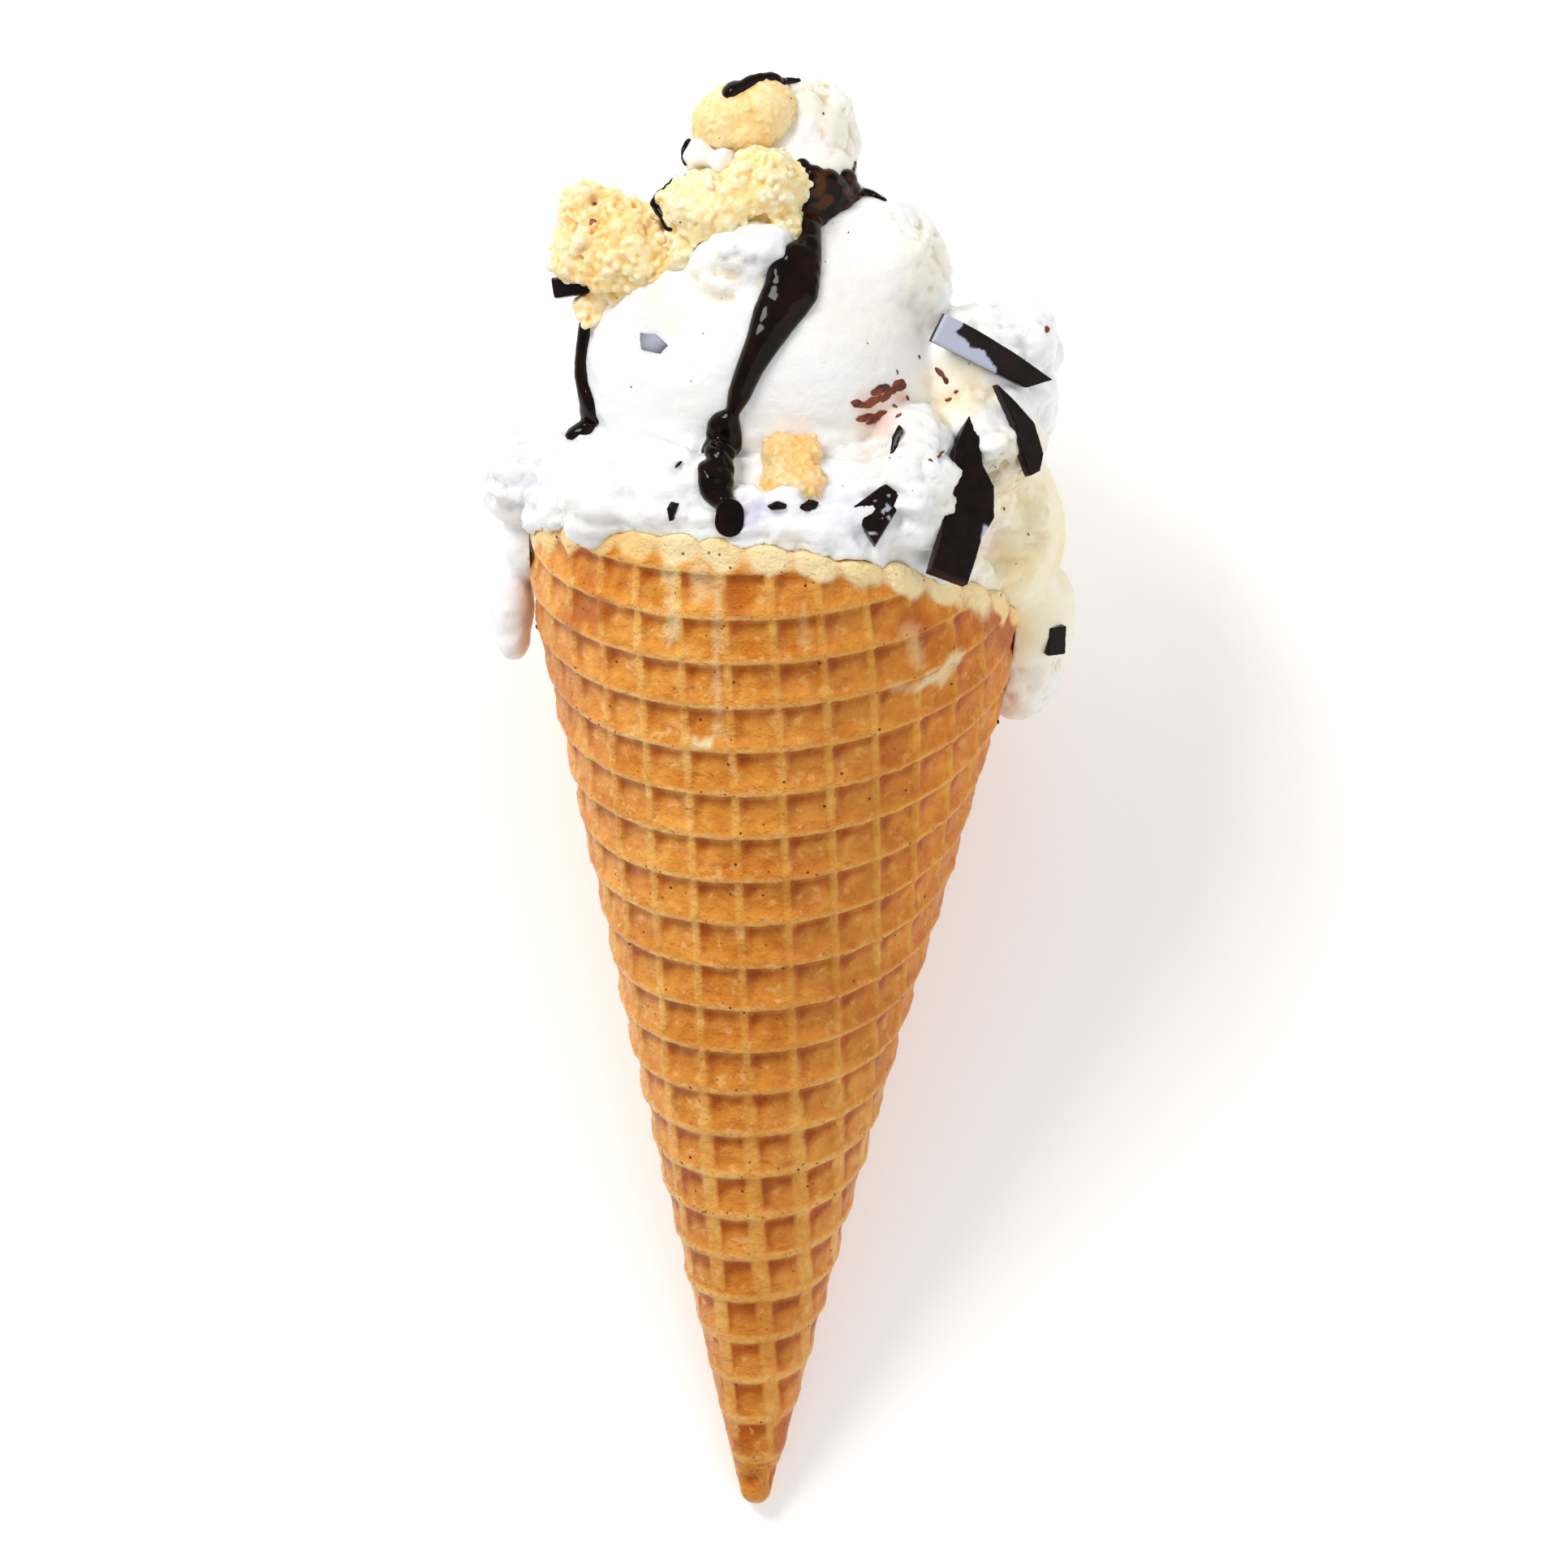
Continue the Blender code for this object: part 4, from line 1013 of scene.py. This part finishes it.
def beside_surface(tree, x, y, height, reach=2.5):
    """The nearest point of a surface, or the point itself where nothing is near."""
    point = seen_at(x, y, height)
    place, normal, _, distance = tree.find_nearest(point)
    if distance > reach:
        return point, Vector((0.0, 0.0, 1.0))
    return place, normal


def lying_on(normal):
    """The turn that lays a flat thing on a slope and keeps where it points."""
    return Vector((0.0, 0.0, 1.0)).rotation_difference(normal).to_matrix().to_4x4()


def blob_into(bm, place, normal, half_sizes, sink=-0.05, turn=0.0):
    lie = lying_on(normal) @ Matrix.Rotation(turn, 4, "Z")
    lower = Matrix.Translation(place - normal * sink * half_sizes[2])
    bmesh.ops.create_icosphere(bm, subdivisions=2, radius=1.0,
                               matrix=lower @ lie @ Matrix.Diagonal((*half_sizes, 1.0)))


def run_into(bm, path, tree, thick, step=0.35):
    """Add a run of sauce; the path's fourth values, where it has them, are heights."""
    path = np.array(path)
    lengths = np.concatenate(([0.0], np.cumsum(np.hypot(*np.diff(path[:, :2], axis=0).T))))
    for length in np.arange(0.0, lengths[-1], step):
        x, y, half, *height = [float(np.interp(length, lengths, column)) for column in path.T]
        place, normal = beside_surface(tree, x, y, *height) if height else on_surface(tree, x, y)
        blob_into(bm, place, normal, (half, half, min(half, thick)))


# %% [markdown]
# ## Cake
# The cake is a coarse crumb that has soaked up cream: pale grains on top, golden in the gaps,
# where the gold is partly the crumb's own and partly painted shade. Each piece is a few lumps
# that grow together, with some hundreds of grains on them, melted together just a little. How far
# a point stands out from a smoothed copy is stored as a value, and the finish uses it to paint
# the gaps darker.

# %% Cake pieces
# Lumps that grow together (place, radii), grains, their largest radius, unevenness, how golden
CAKES = {
    "cake_left": ((
        ((-19.5, 70.5, 52), (8.2, 7.8, 8.2)),
        ((-25.2, 76, 51), (4.4, 4.3, 5.4)),
        ((-25.6, 71.4, 51), (5, 4.8, 6.2)),
        ((-24.4, 64, 49), (3, 2.9, 3.4)),
    ), 700, 0.80, 1, 0.35),
    "cake_middle": ((
        ((-1.6, 79.6, 60), (5.4, 5.4, 6.6)),
        ((-9.4, 76.2, 59), (6.8, 5.2, 7.2)),
        ((-14, 77.4, 58), (3, 3, 4.4)),
        ((0.4, 74.2, 60), (2.8, 3.4, 4.4)),
        ((-12.4, 71.2, 58), (3.4, 3.4, 4.6)),
        ((-5.4, 77.9, 59.6), (5, 4.6, 6.4)),
    ), 620, 0.62, 1, 0),
    "cake_top": ((
        ((-2.4, 89.8, 54), (5.2, 5, 6.4)),
        ((-7.4, 88, 54), (4.8, 4.6, 6)),
        ((-4.4, 86.6, 54.4), (4.6, 3.4, 5.6)),
        ((-4.9, 89, 53.8), (6.4, 5.2, 6.2)),
    ), 420, 0.36, 0.25, 0.45),
    "cake_front": ((
        ((0.6, 43.6, 63.6), (3.3, 3.2, 3.9)),
        ((3, 43.6, 63.4), (3, 3, 3.7)),
        ((0.4, 40.2, 65.2), (3.4, 3.4, 3.9)),
        ((3.2, 39.6, 65.6), (3.2, 3.4, 3.8)),
    ), 320, 0.50, 0.45, 1),
}
CAKE_ROUGH, CAKE_VOXEL = 0.16, 0.5
GRAIN_VOXEL = 0.25


def cake_piece(name, lumps, grains, largest, uneven, golden):
    random = np.random.default_rng(len(name) * 31)
    bm = bmesh.new()
    for place, radii in lumps:
        lump_into(bm, place, [radius * 0.95 for radius in radii], CAKE_ROUGH * uneven, 4)
    piece = melted(name, bm, CAKE_VOXEL, 2)
    places = coordinates(piece.data)
    broken = 0.9 * noise_field(places, 3.4, 50, 2) + 1.2 * lumpy(places, 2.6, 8)
    push_along_normals(piece.data, uneven * broken - 0.10)
    bm = bmesh.new()
    bm.from_mesh(piece.data)
    drop(piece)
    bm.normal_update()
    bm.verts.ensure_lookup_table()
    spots = random.choice(len(bm.verts), grains, replace=False)
    seats = [(bm.verts[int(i)].co.copy(), bm.verts[int(i)].normal.copy()) for i in spots]
    for seat, normal in seats:
        size = largest * float(random.uniform(0.45, 1.0)) * (0.9 + 0.5 * noise.noise(seat / 4.0))
        stretch = [size * float(random.uniform(0.75, 1.2)) for _ in range(3)]
        sink = float(random.uniform(-0.5, 0.3))
        blob_into(bm, seat, normal, stretch, sink, float(random.uniform(0.0, pi)))
    piece = melted(name, bm, GRAIN_VOXEL, 1)
    places = coordinates(piece.data)
    gritty = 0.14 * noise_field(places, 0.9, 51, 2) + 0.20 * lumpy(places, 0.8, 9)
    push_along_normals(piece.data, gritty)
    store_raised(piece, 40)
    spread = 0.75 + 0.5 * noise_field(places, 2.5, 55)
    store_value(piece.data, "golden", golden * np.clip(spread, 0.0, 1.0))
    return piece


cakes = {name: cake_piece(name + "_crumb", *spec) for name, spec in CAKES.items()}
print("cake pieces", {name: len(piece.data.vertices) for name, piece in cakes.items()})

# %% Cake finish
sponge = Finish("cake_crumb", Roughness=0.38, Specular_IOR_Level=0.45, Subsurface_Weight=0.35,
                Subsurface_Radius=(1.0, 0.7, 0.25), Subsurface_Scale=0.0014)
# Painted shade, partly the crumb's own gold: the deeper a point lies among the grains, the darker
raised = sponge.between(sponge.stored("raised"), -0.75, 0.5)
crumb = sponge.ramp(raised, (0.1, (220, 160, 62)), (0.40, (247, 212, 134)),
                    (0.62, (252, 232, 176)), (0.90, (254, 247, 224)))
warm = sponge.ramp(sponge.noise(170.0, 3.0), (0.36, (1.0, 0.88, 0.66, 1.0)), (0.56, grey(1.0)))
gold = sponge.ramp(sponge.stored("golden"), (0.0, grey(1.0)), (1.0, (0.97, 0.70, 0.42, 1.0)))
sponge.feed(sponge.shader, Base_Color=sponge.times(sponge.times(crumb, warm), gold))
sponge.bump((sponge.noise(1500.0, 3.0, 0.6), 0.08))
print("cake finish", len(sponge.nodes), "nodes")

# %% [markdown]
# ## Chocolate
# Chocolate snaps into flat shards with straight faces and sharp, slightly chipped edges. The
# faces are almost black and glossy, and the thin edges let some red light through. An outline is
# filled and extruded as a curve, remeshed finely so that its edges can be chipped by noise, and
# tilted to its place.

# %% Shards
# Each shard: outline in its own plane, place, and tilt about X and Y in degrees
SHARDS = {
    "chocolate_long": (
        ((-6.8, 4), (-8.7, 0.2), (-5.3, -1.3), (2.5, -4.7), (5.1, -5.8), (9.1, -4.6),
         (2.9, -0.8), (-2.4, 2)),
        (28, 58.7, 57), (4, 22, 0),
    ),
    "chocolate_curved": (
        ((-4.4, 5.5), (-1.9, 0.2), (-0.9, -4.1), (0.1, -7.1), (1.8, -6.4), (2.5, -4),
         (1.4, 0.1), (-1.5, 3.1)),
        (32.4, 48, 57.4), (-6, 30, 0),
    ),
    "chocolate_tall": (
        ((2.1, 12.2), (3.5, 10.3), (3.3, 5.3), (4.7, 2.4), (4, -2), (1.8, -4.7),
         (-1.4, -11.2), (-7, -9.4), (-5.4, -6), (-2.6, 1.5), (-0.8, 7.4)),
        (24.4, 37.2, 62), (-14, 30, 0),
    ),
    "chocolate_broad": (
        ((4.2, 4.8), (4.6, 2.8), (1, -2.9), (-0.3, -5), (-2.7, -1.2), (-4, -0.3),
         (0.7, 3.3)),
        (12.7, 36.2, 67.2), (-16, 6, 0),
    ),
}
SHARD_THICK = 1.9
CHUNKS = {
    "chocolate_chunk_left": ((-27.5, 66.9, 49.9), (5.6, 2.9, 3), (0, -12, 8)),
    "chocolate_chunk_right": ((36.9, 20, 31), (2.8, 4, 3.2), (20, 30, 8)),
}
FILM_EDGE = ((-4.5, 4.2), (-4.4, 1.0), (-3.0, -0.5), (-1.4, -0.9), (0.2, -3.0), (0.6, -5.5))
SHARD_VOXEL = 0.2


def snapped(piece, seed, chip_depth):
    """Chip the edges and let the faces swell a little, as chocolate breaks."""
    soften(piece, 3, SHARD_VOXEL)
    edge = smoothstep(store_raised(piece, 14) / 0.22)
    places = coordinates(piece.data)
    nicks = chip_depth * edge * np.abs(noise_field(places, 1.1, seed, 2))
    push_along_normals(piece.data, 0.05 * noise_field(places, 3.0, seed + 1) - 0.05 - nicks)
    store_value(piece.data, "edge", edge)


def set_down(piece, place, tilt):
    turn = Euler([radians(angle) for angle in tilt]).to_matrix().to_4x4()
    piece.data.transform(Matrix.Translation(Vector(place)) @ turn)
    return piece


def milky_film(name, places):
    """Milky film, 0 to 1: melted cream on the long and tall shards, pale flecks on the broad one."""
    film = np.zeros(len(places))
    if name == "chocolate_long":
        edge_x = np.interp(-places[:, 1], [-y for _, y in FILM_EDGE], [x for x, _ in FILM_EDGE])
        ragged = 0.8 * noise_field(places, 1.3, 61, 2)
        film = smoothstep((edge_x - places[:, 0] + ragged) / 0.25)
        film *= smoothstep(places[:, 2] / 0.3)
    if name == "chocolate_tall":
        away = np.hypot((places[:, 0] - 2.4) / 0.9, (places[:, 1] + 4.9) / 1.7)
        film = smoothstep((1.2 - away + 0.3 * noise_field(places, 1.3, 63)) / 0.3)
    # The broad shard gets pale bluish flecks, scattered by a noise
    if name == "chocolate_broad":
        film = 0.75 * smoothstep((noise_field(places, 1.1, 65, 2) - 0.42) / 0.1)
    return film


def shard_piece(name, outline, place, tilt):
    shard = flat_prism(name, outline, 0.5 * SHARD_THICK)
    snapped(shard, len(name), 0.28)
    store_value(shard.data, "film", milky_film(name, coordinates(shard.data)))
    return set_down(shard, place, tilt)


def chunk_piece(name, place, size, tilt):
    bm = bmesh.new()
    bmesh.ops.create_cube(bm, size=1.0)
    bmesh.ops.scale(bm, vec=Vector(size), verts=bm.verts)
    chunk = add_object(name, mesh_of(bm, name))
    snapped(chunk, len(name) + 5, 0.45)
    store_value(chunk.data, "film", np.zeros(len(chunk.data.vertices)))
    return set_down(chunk, place, tilt)


chocolate = {name: shard_piece(name, *spec) for name, spec in SHARDS.items()}
chocolate.update({name: chunk_piece(name, *spec) for name, spec in CHUNKS.items()})
print("chocolate pieces", list(chocolate))

# %% Chocolate finish
snap = Finish("chocolate_snap", Roughness=0.24, Specular_IOR_Level=0.15)
mottle = snap.noise(420.0, 3.0)
dark = snap.ramp(mottle, (0.3, (12, 6, 6)), (0.7, (30, 16, 14)))
coloured = snap.mix(snap.between(snap.stored("edge"), 0.45, 1.0), dark, (66, 24, 16))
snap.feed(snap.shader, Base_Color=snap.mix(snap.stored("film"), coloured, (186, 190, 208)))
snap.bump((mottle, 0.10))

# %% [markdown]
# Now the surfaces below the sauce are there, so the runs can be laid on them. Where the main run
# meets the foot of the scoop it buckles into thick folds, and in the pool at the neck amber
# patches are painted where light shines through the sauce.

# %% Lay the sauce
SAUCE_VOXEL = 0.24
FOLDS_AT, FOLDS_REACH = (-7.9, 43.4), 6.0
POOL_AT, POOL_REACH, POOL_THICK = (6.5, 79.0), 5.0, 1.3
solid_tree = surface_of(ice, wafer, *cakes.values())
cream_tree = surface_of(ice)
sauce_bm = bmesh.new()
top_tree = surface_of(ice, cakes["cake_top"])
# Each run: path, what it lies on, and how thick it can be
RUNS = (
    (SAUCE_MAIN, cream_tree, 1.8), (SAUCE_TAIL, cream_tree, 0.8), (SAUCE_RIDGE, cream_tree, 0.6),
    (SAUCE_LEFT, cream_tree, 1.3), (SAUCE_LEFT_BRANCH, cream_tree, 0.8),
    (SAUCE_TOP, top_tree, 1.0), (SAUCE_THREAD, solid_tree, 0.6),
)
for path, tree, thick in RUNS:
    run_into(sauce_bm, path, tree, thick)
for x, y, half in SAUCE_POOL:
    place, normal = on_surface(cream_tree, x, y)
    blob_into(sauce_bm, place, normal, (half, half, min(half, POOL_THICK)))
sauce = melted("chocolate_sauce", sauce_bm, SAUCE_VOXEL, 12)
sauce_places = coordinates(sauce.data)
skewed = sauce_places + np.array([0.0, 0.9, 0.0]) * sauce_places[:, :1]
folds = 1.7 * np.abs(noise_field(skewed, 3.4, 71)) - 0.40
folded = smoothstep(1.0 - away_from(sauce_places, *FOLDS_AT) / FOLDS_REACH)
push_along_normals(sauce.data, folded * folds)
# Painted light: amber patches in the pool, where light shines through the sauce
pooled = smoothstep(1.3 - away_from(sauce_places, *POOL_AT) / POOL_REACH)
thin_spots = smoothstep(4.0 * noise_field(sauce_places * np.array([0.7, 1.3, 1.0]), 1.5, 73))
store_value(sauce.data, "painted_amber_light", pooled * thin_spots)
soften(sauce, 2)

# %% Sauce finish
syrup = Finish("chocolate_sauce", Roughness=0.09, Specular_IOR_Level=0.13, Coat_Weight=0.05,
               Coat_Roughness=0.03)
black = syrup.ramp(syrup.noise(220.0, 2.0), (0.35, (9, 4, 3)), (0.7, (32, 13, 8)))
# Painted light: amber where light shines through the pool
syrup.feed(syrup.shader, Base_Color=syrup.mix(syrup.stored("painted_amber_light"), black, (76, 40, 14)))
syrup.bump((syrup.noise(260.0, 1.0), 0.10))

# %% [markdown]
# Small things complete the heap: chips that are half sunk in it, thin brown shavings in a little
# fan, and dark specks of vanilla. They are gathered in two joined meshes. The chips share the
# chocolate's finish, and the shavings and specks have a redder one.

# %% Chips, shavings and specks
CHIPS = (
    (-17.2, 59.9, 4.6, 2.6, -20), (-14.6, 37.2, 2.9, 1.5, 80), (4, 37.9, 2.7, 1.3, 10),
    (15.7, 46.9, 4.2, 1.4, 75), (-0.3, 37.9, 2.6, 0.9, 5), (-13.9, 43.4, 1.2, 0.8, 40),
    (-33.6, 20.3, 1, 0.8, 10), (29.5, 8.7, 1, 0.8, 0),
)
SHAVINGS = (
    (13.6, 53.6, 3.4, 1.1, 14), (16.2, 54.2, 2.6, 1.3, 4), (14.8, 53.5, 2.4, 0.9, -10),
    (10.6, 51.7, 2.4, 0.9, -14), (12.6, 52, 3.4, 1.2, 16), (14.3, 52.6, 2.2, 0.9, 24),
    (11.6, 49.8, 3, 0.9, 6), (13.6, 50.1, 3.2, 1.2, 4), (12.6, 49.3, 2.6, 0.5, 8),
    (15.6, 51.3, 1.5, 0.35, -70), (17.3, 52.4, 0.9, 0.3, -78), (16.1, 50.1, 1.2, 0.5, 30),
    (21.7, 55.9, 2, 0.6, -40), (22.4, 55, 1.3, 0.6, -60), (23, 52.3, 1.3, 0.4, 4),
    (23.9, 53.3, 0.8, 0.4, 30), (21.5, 44.6, 2.8, 0.4, 34), (20.4, 44, 0.8, 0.3, -40),
    (26.9, 41.2, 1, 0.7, 70), (27.2, 42.8, 0.8, 0.6, 20), (24.8, 59.9, 0.9, 0.4, -70),
    (36.2, 61.8, 1.2, 0.6, 70), (-25.6, 76.4, 1.4, 0.8, 0), (-25.1, 78.8, 0.8, 0.5, 0),
    (18.9, 58.1, 0.7, 0.3, -60), (15.9, 56, 1, 0.3, -70),
)
SPECKS = (
    (30.4, 37.5, 0.28), (33.6, 34, 0.22), (6.2, 70.9, 0.12), (9.3, 74.9, 0.16), (7.1, 76.1, 0.1),
    (3.5, 63.6, 0.1), (6, 57.2, 0.1), (11.9, 59.9, 0.12), (-8, 66, 0.14), (-10.4, 61.3, 0.12),
    (-20.2, 54, 0.2), (-12, 54.8, 0.1), (14.9, 44.4, 0.12), (25.6, 57.1, 0.12), (33.4, 47, 0.12),
    (-13.5, 76.3, 0.15), (-8.2, 87.7, 0.1), (-2.1, 83.2, 0.1), (1.5, 93.1, 0.14), (5.9, 91, 0.2),
    (18, 39.9, 0.1), (29.2, 43.2, 0.12), (-22, 66, 0.12), (8.6, 40.5, 0.1), (32, 30, 0.1),
)


def laid(bm, tree, x, y, size, turn, make, **shape):
    """Add a shape to a bmesh, lying where the camera sees x, y, stretched to a size."""
    place, normal = on_surface(tree, x, y)
    lie = lying_on(normal) @ Matrix.Rotation(radians(turn), 4, "Z")
    matrix = Matrix.Translation(place) @ lie @ Matrix.Diagonal((*size, 1.0))
    return make(bm, matrix=matrix, **shape)["verts"]


CHIP_THICK, SHAVING_THICK, SPECK_FLAT = 0.9, 0.18, 0.6
CHIP_SHAPE = {"cap_ends": True, "segments": 5, "radius1": 0.62, "radius2": 0.55, "depth": 1.0}
FILMED_CHIP = (-17.0, 59.0)
CHIP_SEED = 2                    # the noise vector that bends the chips differs from seed to seed

noise.seed_set(CHIP_SEED)
chip_bm = bmesh.new()
for x, y, length, width, turn in CHIPS:
    size = (length, width, CHIP_THICK)
    for vert in laid(chip_bm, solid_tree, x, y, size, turn, bmesh.ops.create_cone, **CHIP_SHAPE):
        vert.co += 0.7 * noise.noise_vector(vert.co * 0.9)
chips = add_object("chocolate_chips", mesh_of(chip_bm, "chips"))
snapped(chips, 9, 0.3)
film = 0.8 * smoothstep(1.0 - away_from(coordinates(chips.data), *FILMED_CHIP) / 3.5)
store_value(chips.data, "film", film)

ball = bmesh.ops.create_icosphere
shaving_bm = bmesh.new()
for x, y, length, width, turn in SHAVINGS:
    size = (0.5 * length, 0.62 * width, SHAVING_THICK)
    laid(shaving_bm, solid_tree, x, y, size, turn, ball, subdivisions=3, radius=1.0)
for x, y, radius in SPECKS:
    size = (radius, radius, radius * SPECK_FLAT)
    laid(shaving_bm, solid_tree, x, y, size, 0.0, ball, subdivisions=1, radius=1.0)
shavings = add_object("chocolate_shavings", mesh_of(shaving_bm, "shavings"))
shaving_places = coordinates(shavings.data)
crinkle = np.stack([noise_field(shaving_places, 0.7, seed) for seed in (81, 83, 85)], axis=1)
set_coordinates(shavings.data, shaving_places + 0.16 * crinkle)

# %% Shaving finish
shaved = Finish("chocolate_shaving", Roughness=0.4, Specular_IOR_Level=0.4)
flake = shaved.ramp(shaved.noise(700.0, 2.0), (0.3, (70, 22, 6)), (0.7, (150, 66, 30)))
shaved.feed(shaved.shader, Base_Color=flake)


# %% Move everything to the frame
def finish_piece(piece, finish, slot, *nodes):
    """Move a drawn piece into the frame, keep it in the CAD's box and give it its finish."""
    piece.data.transform(TO_FRAME)
    inside = np.clip(coordinates(piece.data), np.array(cad_box[0]), np.array(cad_box[1]))
    set_coordinates(piece.data, inside)
    piece.data.materials.clear()
    piece.data.materials.append(finish.material)
    piece.data.shade_smooth()
    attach(piece, "root")
    if nodes:
        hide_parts(*nodes)
    piece.data.calc_loop_triangles()
    print(piece.name, len(piece.data.loop_triangles), "triangles")


finish_piece(wafer, crust, "wafer", "waffle_cone")
finish_piece(ice, cream, "ice_cream", "ice_cream")
for name, piece in cakes.items():
    finish_piece(piece, sponge, "cake", name)
for name, piece in chocolate.items():
    piece.name = name + "_snapped"
    finish_piece(piece, snap, "chocolate", name)
finish_piece(sauce, syrup, "chocolate")
finish_piece(chips, snap, "chocolate")
finish_piece(shavings, shaved, "chocolate")


# %% [markdown]
# ## Floor, light and camera
# The photograph looks straight down on the shown side. The light is soft and comes from the upper
# left, which leaves the upper edge of each pocket in shade. The floor is plain and pale.

# %% Camera
PICTURE = 1932                   # pixels a side
PIXEL = 0.11                     # mm a pixel, in the plane of the cone's axis
SENSOR = 36.0
camera_data = bpy.data.cameras.new("camera")
camera_data.sensor_width = SENSOR
camera_data.lens = SENSOR * (EYE.z - AXIS_HEIGHT) / (PICTURE * PIXEL)
camera_data.clip_start = 0.01
camera = add_object("camera", camera_data)
camera.location = TO_FRAME @ EYE
scene.camera = camera

# %% Floor and lights
LIGHTS_AIM = Vector((0.0, 0.0, 0.03))


def area_light(name, place, size, power, colour):
    data = bpy.data.lights.new(name, "AREA")
    data.shape = "DISK"
    data.size = size
    data.energy = power
    data.color = colour
    light = add_object(name, data)
    light.location = place
    light.rotation_euler = (LIGHTS_AIM - Vector(place)).to_track_quat("-Z", "Y").to_euler()


floor_bm = bmesh.new()
bmesh.ops.create_grid(floor_bm, x_segments=1, y_segments=1, size=1.5)
floor = add_object("floor", mesh_of(floor_bm, "floor"))
pale = Finish("pale_floor", Roughness=0.9, Specular_IOR_Level=0.1, Base_Color=grey(0.95),
              Emission_Color=grey(1.0), Emission_Strength=0.20)
floor.data.materials.append(pale.material)
area_light("key", (-0.50, 0.60, 0.70), 0.42, 7.0, (1.0, 0.99, 0.98))
area_light("fill", (0.75, -0.35, 0.85), 2.0, 7.2, (0.985, 0.99, 1.0))
scene.world = bpy.data.worlds.new("studio")
scene.world.use_nodes = True
sky = scene.world.node_tree.nodes["Background"]
sky.inputs["Color"].default_value = grey(1.0)
sky.inputs["Strength"].default_value = 0.42
scene.view_settings.view_transform = "Standard"
